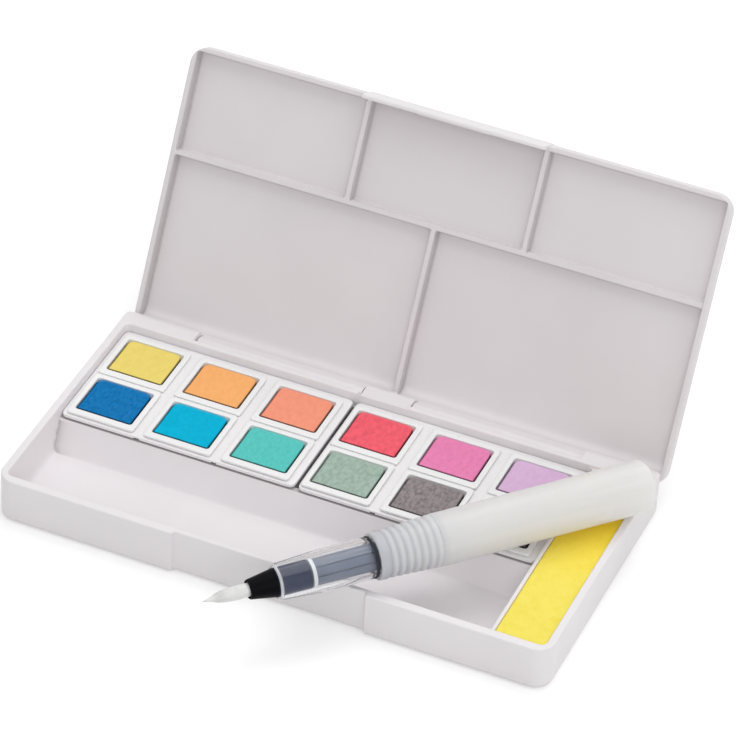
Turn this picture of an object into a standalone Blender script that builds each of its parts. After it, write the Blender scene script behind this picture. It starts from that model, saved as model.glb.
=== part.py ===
"""Watercolor pan set: a hinged palette box with twelve half pans, a sponge and a water brush.

The box stands on z = 0 with its middle at the origin. +X is to the right, +Y to the hinge, +Z up.
Sizes are in millimetres and become metres through MM. The lid is modelled closed, about its hinge
axis, and then turned to its open stop. The brush is modelled along +Z from its tip, then laid over the box.
"""
import math

import bmesh
import bpy
from mathutils import Matrix, Vector
from mathutils.geometry import delaunay_2d_cdt

MM = 0.001

# Clearances
CLEARANCE = 0.3
REST_GAP = 0.2
HINGE_CLEARANCE = 0.35

# Case base
CASE_WIDTH = 140.0
CASE_DEPTH = 73.0
BASE_HEIGHT = 11.9
SIDE_WALL = 1.9
FRONT_WALL = 2.4
FLOOR = 1.5
CASE_CORNER = 4.5
BASE_FOOT_ROUND = 1.2
TROUGH_CORNER = 2.0
TROUGH_FILLET = 1.6
MID_WALL = 1.5
TRAY_LEDGE = 1.2
BAY_WALL = 0.9
BAY_WALL_DROP = 0.7
BAY_CORNER = 3.0
RECESS_WIDTH = 48.2
RECESS_DEPTH = 1.1

# Hinge
AXIS_INSET = 2.0
AXIS_DROP = 3.0
KNUCKLE_RADIUS = 2.0
KNUCKLE_REACH = 50.7
CENTRE_KNUCKLE = 12.6
CENTRE_DROP = 1.0
HINGE_SHELL = 1.2
PIN_RADIUS = 1.0
PIN_LENGTH = 2.6
OPEN_ANGLE = 117.0

# Lid
LID_HEIGHT = 4.0
LID_RIM = 1.4
LID_EDGE_ROUND = 1.4
WELL_DEPTH = 3.0
WELL_CORNER = 1.6
WELL_FILLET = 0.7
DIVIDER = 1.3
DIVIDER_DROP = 0.6
DIVIDER_FROM_AXIS = 43.9
UPPER_DIVIDER_X = 23.1
TAB_DROP = 4.2
TAB_PROUD = 0.4
TAB_CORNER = 0.8
CATCH_WIDTH = 18.5
CATCH_HEIGHT = 0.8
CATCH_PROUD = 0.15

# Half pans and paint
PAN_COLUMNS = 3
PAN_ROWS = 2
PAN_LENGTH = 17.6
PAN_WIDTH = 16.1
PAN_HEIGHT = 8.5
PAN_CORNER = 1.2
PAN_PITCH = 20.31
PAN_SIDE_SHIFT = -0.7
PAN_ROW_GAP = 0.9
PAN_RIM_SIDE = 1.3
PAN_RIM_END = 1.65
PAN_WALL = 0.6
PAN_FLOOR = 0.8
PAN_FLANGE = 0.6
PAN_DRAFT = 0.7
PAN_RIM_DROP = 1.4
PAINT_GAP = 0.2
PAINT_DROP = 0.5
PAINT_EDGE = 0.35

# Pan trays
TRAY_LENGTH = 60.6
TRAY_MARGIN_FRONT = 0.98
TRAY_MARGIN_BACK = 2.2
TRAY_GAP = 0.94
TRAY_HEIGHT = 0.8
TRAY_PLATE = 0.5
TRAY_SKIRT = 1.0
TRAY_CORNER = 1.5
TRAY_NOTCH = 1.4
TRAY_NOTCH_HEIGHT = 0.45

# Sponge
SPONGE_DROP = 0.8
SPONGE_ROUND = 0.6

# Water brush, measured along its axis from the tip
TIP_X = -6.3
TIP_Y = -60.5
BRUSH_YAW = 47.1
BRUSH_LENGTH = 113.6
BRISTLE_LENGTH = 11.9
BRISTLE_RADIUS = 1.55
BRISTLE_BELLY = 1.12
BRISTLE_BELLY_RUN = 6.4
BRISTLE_POINT = 0.3
BRISTLE_STAGGER = 4.2
BRISTLE_STRANDS = 300
STRAND_FILL = 0.36
TUFT_RIM = 0.1
TUFT_SIDES = 24
TUFT_BACKING = 1.2
TUFT_DEPTH = 2.4
NOSE_MOUTH = 2.35
NOSE_BASE = 3.35
NOSE_LENGTH = 6.4
NOSE_PLUG = 8.4
NECK_FRONT_RADIUS = 4.3
NECK_REAR_RADIUS = 5.0
NECK_BORE = 3.75
NECK_LENGTH = 23.2
SPIGOT_RADIUS = 4.4
SPIGOT_LENGTH = 6.0
FEED_RADIUS = 3.2
FEED_BORE = 1.6
FEED_FLANGE = 0.9
FEED_FLANGE_LIP = 0.25
FEED_LENGTH = 33.0
SEAL_RADIUS = 5.3
SEAL_THICKNESS = 0.7
BARREL_MOUTH = 5.7
BARREL_RADIUS = 6.3
BARREL_WALL = 1.0
BARREL_END_ROUND = 1.8
GRIP_START = 2.6
GRIP_RIBS = 7
GRIP_PITCH = 1.85
GRIP_GROOVE = 0.37
GRIP_FLANK = 0.37
GRIP_RELIEF = 0.35
TURN_STEPS = 32

# Places that follow from the sizes above
LEFT_FACE = -CASE_WIDTH / 2 + SIDE_WALL
RIGHT_FACE = CASE_WIDTH / 2 - SIDE_WALL
FRONT_FACE = -CASE_DEPTH / 2 + FRONT_WALL
AXIS_Y = CASE_DEPTH / 2 - AXIS_INSET
AXIS_Z = BASE_HEIGHT - AXIS_DROP
REAR_FACE = AXIS_Y - KNUCKLE_RADIUS - HINGE_CLEARANCE - HINGE_SHELL

PAN_RIM_Z = BASE_HEIGHT - PAN_RIM_DROP
PAN_ROW_PITCH = PAN_WIDTH + PAN_ROW_GAP
TRAY_TOP = PAN_RIM_Z - PAN_FLANGE - CLEARANCE
TRAY_SEAT = TRAY_TOP - TRAY_HEIGHT - CLEARANCE
TRAY_BACK = REAR_FACE - CLEARANCE
TRAY_DEPTH = PAN_ROWS * PAN_ROW_PITCH - PAN_ROW_GAP + TRAY_MARGIN_FRONT + TRAY_MARGIN_BACK
TRAY_FRONT = TRAY_BACK - TRAY_DEPTH
TRAY_LEFT_X = LEFT_FACE + CLEARANCE + TRAY_LENGTH / 2
TRAY_RIGHT_X = TRAY_LEFT_X + TRAY_LENGTH + TRAY_GAP
BACK_ROW_Y = TRAY_BACK - TRAY_MARGIN_BACK - PAN_WIDTH / 2
BAY_LEFT_FACE = TRAY_RIGHT_X + TRAY_LENGTH / 2 + CLEARANCE
BAY_FACE = BAY_LEFT_FACE + BAY_WALL
MID_WALL_FRONT = TRAY_FRONT - CLEARANCE

LID_PLANE = AXIS_DROP + CLEARANCE
LID_FRONT = -(AXIS_Y + CASE_DEPTH / 2)
LID_TURN = math.radians(OPEN_ANGLE)
LID_REAR = (LID_PLANE * math.sin(LID_TURN) - AXIS_INSET - CLEARANCE) / -math.cos(LID_TURN)

NOSE_END = BRISTLE_LENGTH + NOSE_LENGTH
NECK_START = NOSE_END + CLEARANCE
NECK_END = NECK_START + NECK_LENGTH
FEED_START = NOSE_END + NOSE_PLUG + CLEARANCE
BARREL_START = NECK_END + SEAL_THICKNESS + 2 * CLEARANCE

PAINT_COLOURS = [
    (0.84, 0.68, 0.15), (0.95, 0.44, 0.15), (0.94, 0.33, 0.20),
    (0.90, 0.09, 0.13), (0.85, 0.20, 0.46), (0.68, 0.40, 0.73),
    (0.01, 0.14, 0.45), (0.00, 0.45, 0.69), (0.10, 0.58, 0.51),
    (0.35, 0.51, 0.40), (0.19, 0.16, 0.16), (0.05, 0.05, 0.06),
]


def clear_scene():
    """Removes every object, so that the script can be run again."""
    for obj in list(bpy.data.objects):
        bpy.data.objects.remove(obj, do_unlink=True)


def new_collection(name):
    collection = bpy.data.collections.new(name)
    bpy.context.scene.collection.children.link(collection)
    return collection


def make_material(name, colour, roughness, metallic=0.0):
    material = bpy.data.materials.new(name)
    material.use_nodes = True
    shader = material.node_tree.nodes["Principled BSDF"]
    shader.inputs["Base Color"].default_value = (*colour, 1.0)
    shader.inputs["Roughness"].default_value = roughness
    shader.inputs["Metallic"].default_value = metallic
    return material


def new_object(name, mesh, collection, material=None):
    obj = bpy.data.objects.new(name, mesh)
    collection.objects.link(obj)
    if material:
        mesh.materials.append(material)
    return obj


def mesh_from(bm, name):
    mesh = bpy.data.meshes.new(name)
    bmesh.ops.recalc_face_normals(bm, faces=bm.faces)
    bm.to_mesh(mesh)
    bm.free()
    return mesh


def edges_at(bm, height):
    """The edges that lie level at one height."""
    return [e for e in bm.edges if all(abs(v.co.z - height) < 1e-6 for v in e.verts)]


def box_mesh(name, low, high, corner=0.0, foot=0.0, crown=0.0, segments=4):
    """A box from low to high in millimetres, with round upright edges and a round foot or crown."""
    low, high = Vector(low) * MM, Vector(high) * MM
    bm = bmesh.new()
    bmesh.ops.create_cube(bm, size=1.0)
    size, middle = high - low, (high + low) / 2
    for vert in bm.verts:
        vert.co = Vector(vert.co[i] * size[i] + middle[i] for i in range(3))
    if corner:
        upright = [e for e in bm.edges if abs(e.verts[0].co.z - e.verts[1].co.z) > 1e-6]
        bmesh.ops.bevel(bm, geom=upright, offset=corner * MM, segments=segments, profile=0.5, affect="EDGES")
    for radius, height in ((foot, low.z), (crown, high.z)):
        if radius:
            edges = edges_at(bm, height)
            bmesh.ops.bevel(bm, geom=edges, offset=radius * MM, segments=3, profile=0.5, affect="EDGES")
    return mesh_from(bm, name)


def arc(radius, start, end, steps):
    """Points on an arc about the hinge axis, with angles in degrees from +Y towards +Z."""
    angles = [math.radians(start + (end - start) * i / steps) for i in range(steps + 1)]
    return [(radius * math.cos(a), radius * math.sin(a)) for a in angles]


def prism_mesh(name, outline, x_low, x_high):
    """A closed outline in the YZ plane, extruded along X: a flat filled curve made a mesh."""
    curve = bpy.data.curves.new(name, "CURVE")
    curve.dimensions = "2D"
    curve.fill_mode = "BOTH"
    curve.extrude = (x_high - x_low) / 2 * MM
    spline = curve.splines.new("POLY")
    spline.points.add(len(outline) - 1)
    spline.use_cyclic_u = True
    for point, (y, z) in zip(spline.points, outline):
        point.co = (y * MM, z * MM, 0.0, 1.0)
    obj = bpy.data.objects.new(name, curve)
    bpy.context.scene.collection.objects.link(obj)
    evaluated = obj.evaluated_get(bpy.context.evaluated_depsgraph_get())
    mesh = bpy.data.meshes.new_from_object(evaluated)
    bpy.data.objects.remove(obj, do_unlink=True)
    # curve x, y and depth become world y, z and x
    mesh.transform(Matrix(((0, 0, 1, (x_low + x_high) / 2 * MM), (1, 0, 0, 0), (0, 1, 0, 0), (0, 0, 0, 1))))
    bm = bmesh.new()
    bm.from_mesh(mesh)
    bmesh.ops.remove_doubles(bm, verts=bm.verts, dist=1e-6)
    bpy.data.meshes.remove(mesh)
    return mesh_from(bm, name)


def rod_mesh(name, radius, x_low, x_high, y=0.0, z=0.0):
    """A round rod along X."""
    bm = bmesh.new()
    turn = Matrix.Translation(Vector(((x_low + x_high) / 2, y, z)) * MM) @ Matrix.Rotation(math.pi / 2, 4, "Y")
    bmesh.ops.create_cone(
        bm, cap_ends=True, segments=20, radius1=radius * MM, radius2=radius * MM,
        depth=(x_high - x_low) * MM, matrix=turn,
    )
    return mesh_from(bm, name)


def ring_points(half_x, half_y, corner, z, steps=3):
    """A rounded rectangle as a ring of points."""
    points = []
    for quarter in range(4):
        sign_x = (1, -1, -1, 1)[quarter]
        sign_y = (1, 1, -1, -1)[quarter]
        for i in range(steps + 1):
            angle = math.pi / 2 * (quarter + i / steps)
            x = sign_x * (half_x - corner) + corner * math.cos(angle)
            y = sign_y * (half_y - corner) + corner * math.sin(angle)
            points.append(Vector((x, y, z)) * MM)
    return points


def loft_mesh(name, rings):
    """A skin over rings of equally many points, closed by a flat face at each end."""
    bm = bmesh.new()
    loops = [[bm.verts.new(point) for point in ring] for ring in rings]
    count = len(loops[0])
    for lower, upper in zip(loops, loops[1:]):
        for i in range(count):
            bm.faces.new((lower[i], lower[(i + 1) % count], upper[(i + 1) % count], upper[i]))
    bm.faces.new(reversed(loops[0]))
    bm.faces.new(loops[-1])
    return mesh_from(bm, name)


def turned_object(name, profile, collection, material, steps=TURN_STEPS):
    """A turned piece: a profile of radius and place along the axis, run round by a Screw modifier."""
    mesh = bpy.data.meshes.new(name)
    points = [(radius * MM, 0.0, place * MM) for radius, place in profile]
    closed = profile[0][0] > 0
    edges = [(i, i + 1) for i in range(len(points) - 1)]
    if closed:
        edges.append((len(points) - 1, 0))
    mesh.from_pydata(points, edges, [])
    obj = new_object(name, mesh, collection, material)
    screw = obj.modifiers.new("turn", "SCREW")
    screw.axis = "Z"
    screw.steps = steps
    screw.render_steps = steps
    screw.use_merge_vertices = True
    screw.merge_threshold = 1e-6
    screw.use_smooth_shade = True
    return obj


def cut(obj, mesh, operation="DIFFERENCE"):
    """Adds a Boolean of a mesh in obj's own space."""
    cutter = new_object(f"{obj.name}_{mesh.name}", mesh, CUTTERS)
    cutter.parent = obj
    cutter.hide_render = True
    cutter.display_type = "WIRE"
    modifier = obj.modifiers.new(mesh.name, "BOOLEAN")
    modifier.operation = operation
    modifier.object = cutter
    modifier.solver = "EXACT"


def stop_angle():
    """Where the round knuckle pocket meets the sloped stop face, in degrees."""
    reach = KNUCKLE_RADIUS + HINGE_CLEARANCE
    return 360.0 - OPEN_ANGLE + math.degrees(math.acos((LID_REAR + CLEARANCE) / reach))


def knuckle_pocket(x_low, x_high):
    """Room for a lid knuckle: round under the axis, open above, with the open stop's slope at the back."""
    reach = KNUCKLE_RADIUS + HINGE_CLEARANCE
    behind = AXIS_INSET + CLEARANCE
    above = AXIS_DROP + CLEARANCE
    outline = [(-reach, above)] + arc(reach, 180.0, stop_angle(), 6)
    y, z = outline[-1]
    slope = math.radians(OPEN_ANGLE - 90.0)
    outline.append((behind, z - (behind - y) * math.tan(slope)))
    outline.append((behind, above))
    mesh = prism_mesh("knuckle_pocket", outline, x_low, x_high)
    mesh.transform(Matrix.Translation(Vector((0, AXIS_Y, AXIS_Z)) * MM))
    return mesh


def make_base():
    """The lower shell: a rounded box, hollowed into trough, tray well and sponge bay."""
    above = BASE_HEIGHT + CLEARANCE
    half_width, half_depth = CASE_WIDTH / 2, CASE_DEPTH / 2
    shell = box_mesh(
        "case_base", (-half_width, -half_depth, 0), (half_width, half_depth, BASE_HEIGHT),
        CASE_CORNER, foot=BASE_FOOT_ROUND, segments=5,
    )
    base = new_object("case_base", shell, PARTS, MATERIALS["case"])
    trough_back = MID_WALL_FRONT
    cut(base, box_mesh(
        "trough", (LEFT_FACE, FRONT_FACE, FLOOR), (BAY_LEFT_FACE, trough_back, above),
        TROUGH_CORNER, foot=TROUGH_FILLET,
    ))
    cut(base, box_mesh(
        "tray_well", (LEFT_FACE + TRAY_LEDGE, trough_back + MID_WALL, FLOOR),
        (BAY_LEFT_FACE - TRAY_LEDGE, REAR_FACE - TRAY_LEDGE, above), TROUGH_CORNER,
    ))
    cut(base, box_mesh(
        "tray_seat", (LEFT_FACE, trough_back - TROUGH_CORNER, TRAY_SEAT), (BAY_LEFT_FACE, REAR_FACE, above),
        TROUGH_CORNER / 4, segments=2,
    ))
    cut(base, box_mesh(
        "sponge_bay", (BAY_FACE, FRONT_FACE, FLOOR), (RIGHT_FACE, REAR_FACE, above), BAY_CORNER, foot=TROUGH_FILLET,
    ))
    cut(base, box_mesh(
        "bay_wall_top", (BAY_LEFT_FACE - TROUGH_CORNER, FRONT_FACE, BASE_HEIGHT - BAY_WALL_DROP),
        (BAY_FACE + BAY_CORNER, REAR_FACE, above),
    ))
    recess_face = -half_depth + RECESS_DEPTH
    cut(base, box_mesh(
        "finger_recess", (-RECESS_WIDTH / 2, -half_depth - RECESS_DEPTH, -CLEARANCE),
        (RECESS_WIDTH / 2, recess_face, above), TAB_CORNER, segments=2,
    ))
    add_hinge_cuts(base)
    return base


def add_hinge_cuts(base):
    """Rounds the hinge blocks about the axis and cuts the knuckle pockets, pin sockets and centre notch."""
    beyond = CASE_WIDTH / 2 + CLEARANCE
    back = AXIS_INSET + CLEARANCE
    above = AXIS_DROP + CLEARANCE
    meet = math.degrees(math.acos(AXIS_INSET / AXIS_DROP))
    outline = arc(AXIS_DROP, 90.0, meet, 4)
    outline += [(back, outline[-1][1]), (back, above), (0.0, above)]
    rounding = prism_mesh("block_round", outline, -beyond, beyond)
    rounding.transform(Matrix.Translation(Vector((0, AXIS_Y, AXIS_Z)) * MM))
    cut(base, rounding)
    inner = CENTRE_KNUCKLE / 2
    outer = KNUCKLE_REACH + CLEARANCE
    cut(base, knuckle_pocket(-outer, -inner))
    cut(base, knuckle_pocket(inner, outer))
    cut(base, box_mesh(
        "centre_notch", (-inner - CLEARANCE, REAR_FACE - CLEARANCE, BASE_HEIGHT - CENTRE_DROP),
        (inner + CLEARANCE, CASE_DEPTH / 2 + CLEARANCE, BASE_HEIGHT + CLEARANCE),
    ))
    for side in (-1, 1):
        ends = sorted((side * (KNUCKLE_REACH - CLEARANCE), side * (KNUCKLE_REACH + PIN_LENGTH + CLEARANCE)))
        cut(base, rod_mesh("pin_socket", PIN_RADIUS + CLEARANCE, *ends, y=AXIS_Y, z=AXIS_Z))


def make_lid():
    """The palette lid, closed about its hinge axis, then turned to the open stop."""
    half_width = CASE_WIDTH / 2
    top = LID_PLANE + LID_HEIGHT
    plate = box_mesh(
        "lid_palette", (-half_width, LID_FRONT, LID_PLANE), (half_width, LID_REAR, top),
        CASE_CORNER, crown=LID_EDGE_ROUND, segments=5,
    )
    lid = new_object("lid_palette", plate, PARTS, MATERIALS["case"])
    add_wells(lid)
    add_knuckles(lid)
    add_latch_tab(lid)
    lid.location = Vector((0, AXIS_Y, AXIS_Z)) * MM
    lid.rotation_euler.x = -LID_TURN
    return lid


def add_wells(lid):
    """Three small wells along the front edge and two large ones by the hinge."""
    inner_x = CASE_WIDTH / 2 - LID_RIM
    inner_front = LID_FRONT + LID_RIM
    inner_rear = -KNUCKLE_RADIUS
    below = LID_PLANE - CLEARANCE
    cut(lid, box_mesh(
        "divider_tops", (-inner_x, inner_front, below), (inner_x, inner_rear, LID_PLANE + DIVIDER_DROP),
        CASE_CORNER - LID_RIM,
    ))
    half = DIVIDER / 2
    columns = {
        "small": [-inner_x - half, -UPPER_DIVIDER_X, UPPER_DIVIDER_X, inner_x + half],
        "large": [-inner_x - half, 0.0, inner_x + half],
    }
    rows = {
        "small": (inner_front, -DIVIDER_FROM_AXIS - half),
        "large": (-DIVIDER_FROM_AXIS + half, inner_rear),
    }
    for kind, walls in columns.items():
        front, rear = rows[kind]
        for left, right in zip(walls, walls[1:]):
            cut(lid, box_mesh(
                f"{kind}_well", (left + half, front, below), (right - half, rear, LID_PLANE + WELL_DEPTH),
                WELL_CORNER, crown=WELL_FILLET,
            ))


def add_knuckles(lid):
    """Two knuckles that hang from the rear wall, with stub pins at their outer ends."""
    rear_turn = -math.degrees(math.acos(LID_REAR / KNUCKLE_RADIUS))
    root = LID_PLANE + LID_HEIGHT / 2
    outline = [(-KNUCKLE_RADIUS, root)] + arc(KNUCKLE_RADIUS, 180.0, 360.0 + rear_turn, 8) + [(LID_REAR, root)]
    inner = CENTRE_KNUCKLE / 2 + CLEARANCE
    for side in (-1, 1):
        ends = sorted((side * inner, side * KNUCKLE_REACH))
        cut(lid, prism_mesh("knuckle", outline, *ends), "UNION")
        ends = sorted((side * (KNUCKLE_REACH - PIN_LENGTH), side * (KNUCKLE_REACH + PIN_LENGTH)))
        cut(lid, rod_mesh("stub_pin", PIN_RADIUS, *ends), "UNION")


def add_latch_tab(lid):
    """The front tab that closes over the finger recess, with its low catch ridge."""
    half = RECESS_WIDTH / 2 - CLEARANCE
    face = LID_FRONT + RECESS_DEPTH - CLEARANCE
    cut(lid, box_mesh(
        "latch_tab", (-half, LID_FRONT - TAB_PROUD, LID_PLANE - TAB_DROP),
        (half, face, LID_PLANE + LID_HEIGHT - LID_EDGE_ROUND), TAB_PROUD, foot=TAB_PROUD, segments=2,
    ), "UNION")
    ridge = LID_PLANE - TAB_DROP + TAB_CORNER
    cut(lid, box_mesh(
        "catch_ridge", (-CATCH_WIDTH / 2, face - CLEARANCE, ridge),
        (CATCH_WIDTH / 2, face + CATCH_PROUD, ridge + CATCH_HEIGHT),
    ), "UNION")


def pan_centres(tray_x):
    """Centres of a tray's six pans, the back row first."""
    middle = (PAN_COLUMNS - 1) / 2
    return [
        (tray_x + PAN_SIDE_SHIFT + (column - middle) * PAN_PITCH, BACK_ROW_Y - row * PAN_ROW_PITCH)
        for row in range(PAN_ROWS)
        for column in range(PAN_COLUMNS)
    ]


def pan_body(drop, grow=0.0):
    """Half length and half width of a pan's tapered body, a drop below its rim, grown all round."""
    draft = PAN_DRAFT * drop / PAN_HEIGHT
    half_x = PAN_LENGTH / 2 - PAN_RIM_SIDE + PAN_WALL - draft + grow
    half_y = PAN_WIDTH / 2 - PAN_RIM_END + PAN_WALL - draft + grow
    return half_x, half_y


def make_tray(name, tray_x):
    """A drop-in tray: a plate with a skirt all round and six pockets."""
    low = (tray_x - TRAY_LENGTH / 2, TRAY_FRONT, TRAY_TOP - TRAY_HEIGHT)
    high = (tray_x + TRAY_LENGTH / 2, TRAY_BACK, TRAY_TOP)
    tray = new_object(name, box_mesh(name, low, high, TRAY_CORNER, segments=3), PARTS, MATERIALS["case"])
    cut(tray, box_mesh(
        "underside", (low[0] + TRAY_SKIRT, low[1] + TRAY_SKIRT, low[2] - CLEARANCE),
        (high[0] - TRAY_SKIRT, high[1] - TRAY_SKIRT, TRAY_TOP - TRAY_PLATE),
    ))
    half_x, half_y = pan_body(PAN_FLANGE, CLEARANCE)
    for x, y in pan_centres(tray_x):
        cut(tray, box_mesh(
            "pocket", (x - half_x, y - half_y, low[2] - CLEARANCE), (x + half_x, y + half_y, high[2] + CLEARANCE),
            PAN_CORNER, segments=3,
        ))
    for gap in range(PAN_COLUMNS - 1):
        x = tray_x + PAN_SIDE_SHIFT + (gap - (PAN_COLUMNS - 2) / 2) * PAN_PITCH
        cut(tray, box_mesh(
            "lip_notch", (x - TRAY_NOTCH / 2, low[1] - CLEARANCE, low[2] - CLEARANCE),
            (x + TRAY_NOTCH / 2, low[1] + TRAY_SKIRT + CLEARANCE, low[2] + TRAY_NOTCH_HEIGHT),
        ))
    return tray


def half_pan_mesh():
    """A flanged cup with draft, with its rim at z = 0."""
    foot = pan_body(PAN_HEIGHT)
    neck = pan_body(PAN_FLANGE)
    bottom = pan_body(PAN_HEIGHT - PAN_FLOOR, -PAN_WALL)
    mouth = pan_body(0.0, -PAN_WALL)
    flange = (PAN_LENGTH / 2, PAN_WIDTH / 2)
    inner_corner = PAN_CORNER - PAN_WALL / 2
    rings = [
        ring_points(*foot, PAN_CORNER, -PAN_HEIGHT),
        ring_points(*neck, PAN_CORNER, -PAN_FLANGE),
        ring_points(*flange, PAN_CORNER, -PAN_FLANGE),
        ring_points(*flange, PAN_CORNER, 0.0),
        ring_points(*mouth, inner_corner, 0.0),
        ring_points(*bottom, inner_corner, -PAN_HEIGHT + PAN_FLOOR),
    ]
    return loft_mesh("half_pan", rings)


def paint_mesh(name):
    """A dried cake that follows the cup's inside, with a soft top edge and a slight dip."""
    def section(drop, inset):
        half = pan_body(drop, -PAN_WALL - PAINT_GAP - inset)
        return ring_points(*half, PAN_CORNER - PAN_WALL / 2, -drop)

    depth = PAN_HEIGHT - PAN_FLOOR - PAINT_GAP
    rings = [
        section(depth, 0.0),
        section(PAINT_DROP + PAINT_EDGE, 0.0),
        section(PAINT_DROP, PAINT_EDGE),
        section(PAINT_DROP + PAINT_EDGE / 2, PAN_CORNER + PAINT_EDGE),
    ]
    return loft_mesh(name, rings)


def make_pans():
    """Twelve cups and their paint, numbered along the back row and then the front row."""
    cup = half_pan_mesh()
    cup.materials.append(MATERIALS["pan"])
    left, right = pan_centres(TRAY_LEFT_X), pan_centres(TRAY_RIGHT_X)
    places = [
        centre
        for row in range(PAN_ROWS)
        for side in (left, right)
        for centre in side[row * PAN_COLUMNS:(row + 1) * PAN_COLUMNS]
    ]
    for number, ((x, y), colour) in enumerate(zip(places, PAINT_COLOURS), 1):
        place = Vector((x, y, PAN_RIM_Z)) * MM
        new_object(f"half_pan_{number:02d}", cup, PARTS).location = place
        name = f"paint_{number:02d}"
        cake = new_object(name, paint_mesh(name), PARTS, make_material(name, colour, 0.8))
        cake.location = place


def make_sponge():
    """The sponge that fills the bay, a little below the rim."""
    low = (BAY_FACE + CLEARANCE, FRONT_FACE + CLEARANCE, FLOOR + CLEARANCE)
    high = (RIGHT_FACE - CLEARANCE, REAR_FACE - CLEARANCE, BASE_HEIGHT - SPONGE_DROP)
    mesh = box_mesh("sponge", low, high, BAY_CORNER - CLEARANCE, TROUGH_FILLET, SPONGE_ROUND)
    return new_object("sponge", mesh, PARTS, MATERIALS["sponge"])


def brush_frame():
    """An empty at the brush's tip, with +Z along the brush, which rests on the front and right rims."""
    yaw = math.radians(BRUSH_YAW)
    front_run = (-CASE_DEPTH / 2 + RECESS_DEPTH - TIP_Y) / math.sin(yaw)
    side_run = (CASE_WIDTH / 2 - SIDE_WALL / 2 - TIP_X) / math.cos(yaw)
    front_height = BASE_HEIGHT + REST_GAP + NECK_REAR_RADIUS
    side_height = BASE_HEIGHT + REST_GAP + BARREL_RADIUS
    rise = (side_height - front_height) / (side_run - front_run)
    frame = bpy.data.objects.new("brush_axis", None)
    PARTS.objects.link(frame)
    frame.location = Vector((TIP_X, TIP_Y, front_height - rise * front_run)) * MM
    frame.rotation_euler = (0, math.pi / 2 - math.atan(rise), yaw)
    return frame


def nose_profile():
    """The black nose: a cone outside, a plug inside the neck, bored for the bristles and the feed."""
    bore = BRISTLE_RADIUS * BRISTLE_BELLY + CLEARANCE
    plug = NECK_BORE - CLEARANCE
    back = NOSE_END + NOSE_PLUG
    return [
        (plug, back), (plug, NOSE_END), (NOSE_BASE, NOSE_END - REST_GAP), (NOSE_MOUTH, BRISTLE_LENGTH + REST_GAP),
        (NOSE_MOUTH - REST_GAP, BRISTLE_LENGTH), (bore, BRISTLE_LENGTH), (bore, back),
    ]


def neck_profile():
    """The clear neck: a flared tube with a shoulder, and a spigot that goes into the barrel."""
    tail = NECK_END + SPIGOT_LENGTH
    return [
        (SPIGOT_RADIUS, tail), (SPIGOT_RADIUS, NECK_END), (NECK_REAR_RADIUS, NECK_END),
        (NECK_REAR_RADIUS, NECK_END - NECK_LENGTH / 2), (NECK_FRONT_RADIUS, NECK_START + CLEARANCE),
        (NECK_FRONT_RADIUS - CLEARANCE, NECK_START), (NECK_BORE, NECK_START), (NECK_BORE, tail),
    ]


def feed_profile():
    """The inner feed tube with its front flange."""
    back = FEED_START + FEED_LENGTH
    lip = FEED_START + FEED_FLANGE
    return [
        (FEED_RADIUS, back), (FEED_RADIUS, lip), (FEED_RADIUS + FEED_FLANGE_LIP, lip),
        (FEED_RADIUS + FEED_FLANGE_LIP, FEED_START), (FEED_BORE, FEED_START), (FEED_BORE, back),
    ]


def seal_profile():
    """The thin ring that sits on the spigot, between the neck's shoulder and the barrel's mouth."""
    start = NECK_END + CLEARANCE
    end = start + SEAL_THICKNESS
    bore = SPIGOT_RADIUS + CLEARANCE
    crown = SEAL_RADIUS - SEAL_THICKNESS / 4
    return [(bore, end), (crown, end), (SEAL_RADIUS, (start + end) / 2), (crown, start), (bore, start)]


def barrel_profile():
    """The soft barrel: a closed rounded end, a plain body, the ribbed grip and an open mouth."""
    inner = BARREL_RADIUS - BARREL_WALL
    mouth_bore = SPIGOT_RADIUS + CLEARANCE
    mouth_depth = BARREL_START + SPIGOT_LENGTH
    outer = [(0.0, BRUSH_LENGTH)]
    for i in range(5):
        turn = math.pi / 2 * i / 4
        radius = BARREL_RADIUS - BARREL_END_ROUND * (1 - math.sin(turn))
        outer.append((radius, BRUSH_LENGTH - BARREL_END_ROUND * (1 - math.cos(turn))))
    grip_front = BARREL_START + GRIP_START
    for rib in reversed(range(GRIP_RIBS)):
        start = grip_front + rib * GRIP_PITCH
        blend = rib / (GRIP_RIBS - 1)
        crest = BARREL_MOUTH + (BARREL_RADIUS - BARREL_MOUTH) * blend
        rise = start + GRIP_GROOVE
        outer += [(crest, start + GRIP_PITCH - GRIP_FLANK), (crest, rise + GRIP_FLANK)]
        outer += [(crest - GRIP_RELIEF, rise), (crest - GRIP_RELIEF, start)]
    outer += [(BARREL_MOUTH, grip_front - GRIP_PITCH / 2), (BARREL_MOUTH, BARREL_START)]
    bore = [
        (mouth_bore, BARREL_START), (mouth_bore, mouth_depth + GRIP_PITCH),
        (inner - GRIP_RELIEF, mouth_depth + 2 * GRIP_PITCH + GRIP_RIBS * GRIP_PITCH),
        (inner - GRIP_RELIEF, BRUSH_LENGTH - BARREL_WALL - BARREL_END_ROUND),
        (0.0, BRUSH_LENGTH - BARREL_WALL),
    ]
    return outer + bore


def strand_places():
    """Even spots in a disc for the strands, by the golden angle, as fractions of its radius."""
    golden = math.pi * (3 - math.sqrt(5))
    for i in range(BRISTLE_STRANDS):
        share = math.sqrt((i + 0.5) / BRISTLE_STRANDS)
        yield share, i * golden


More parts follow.
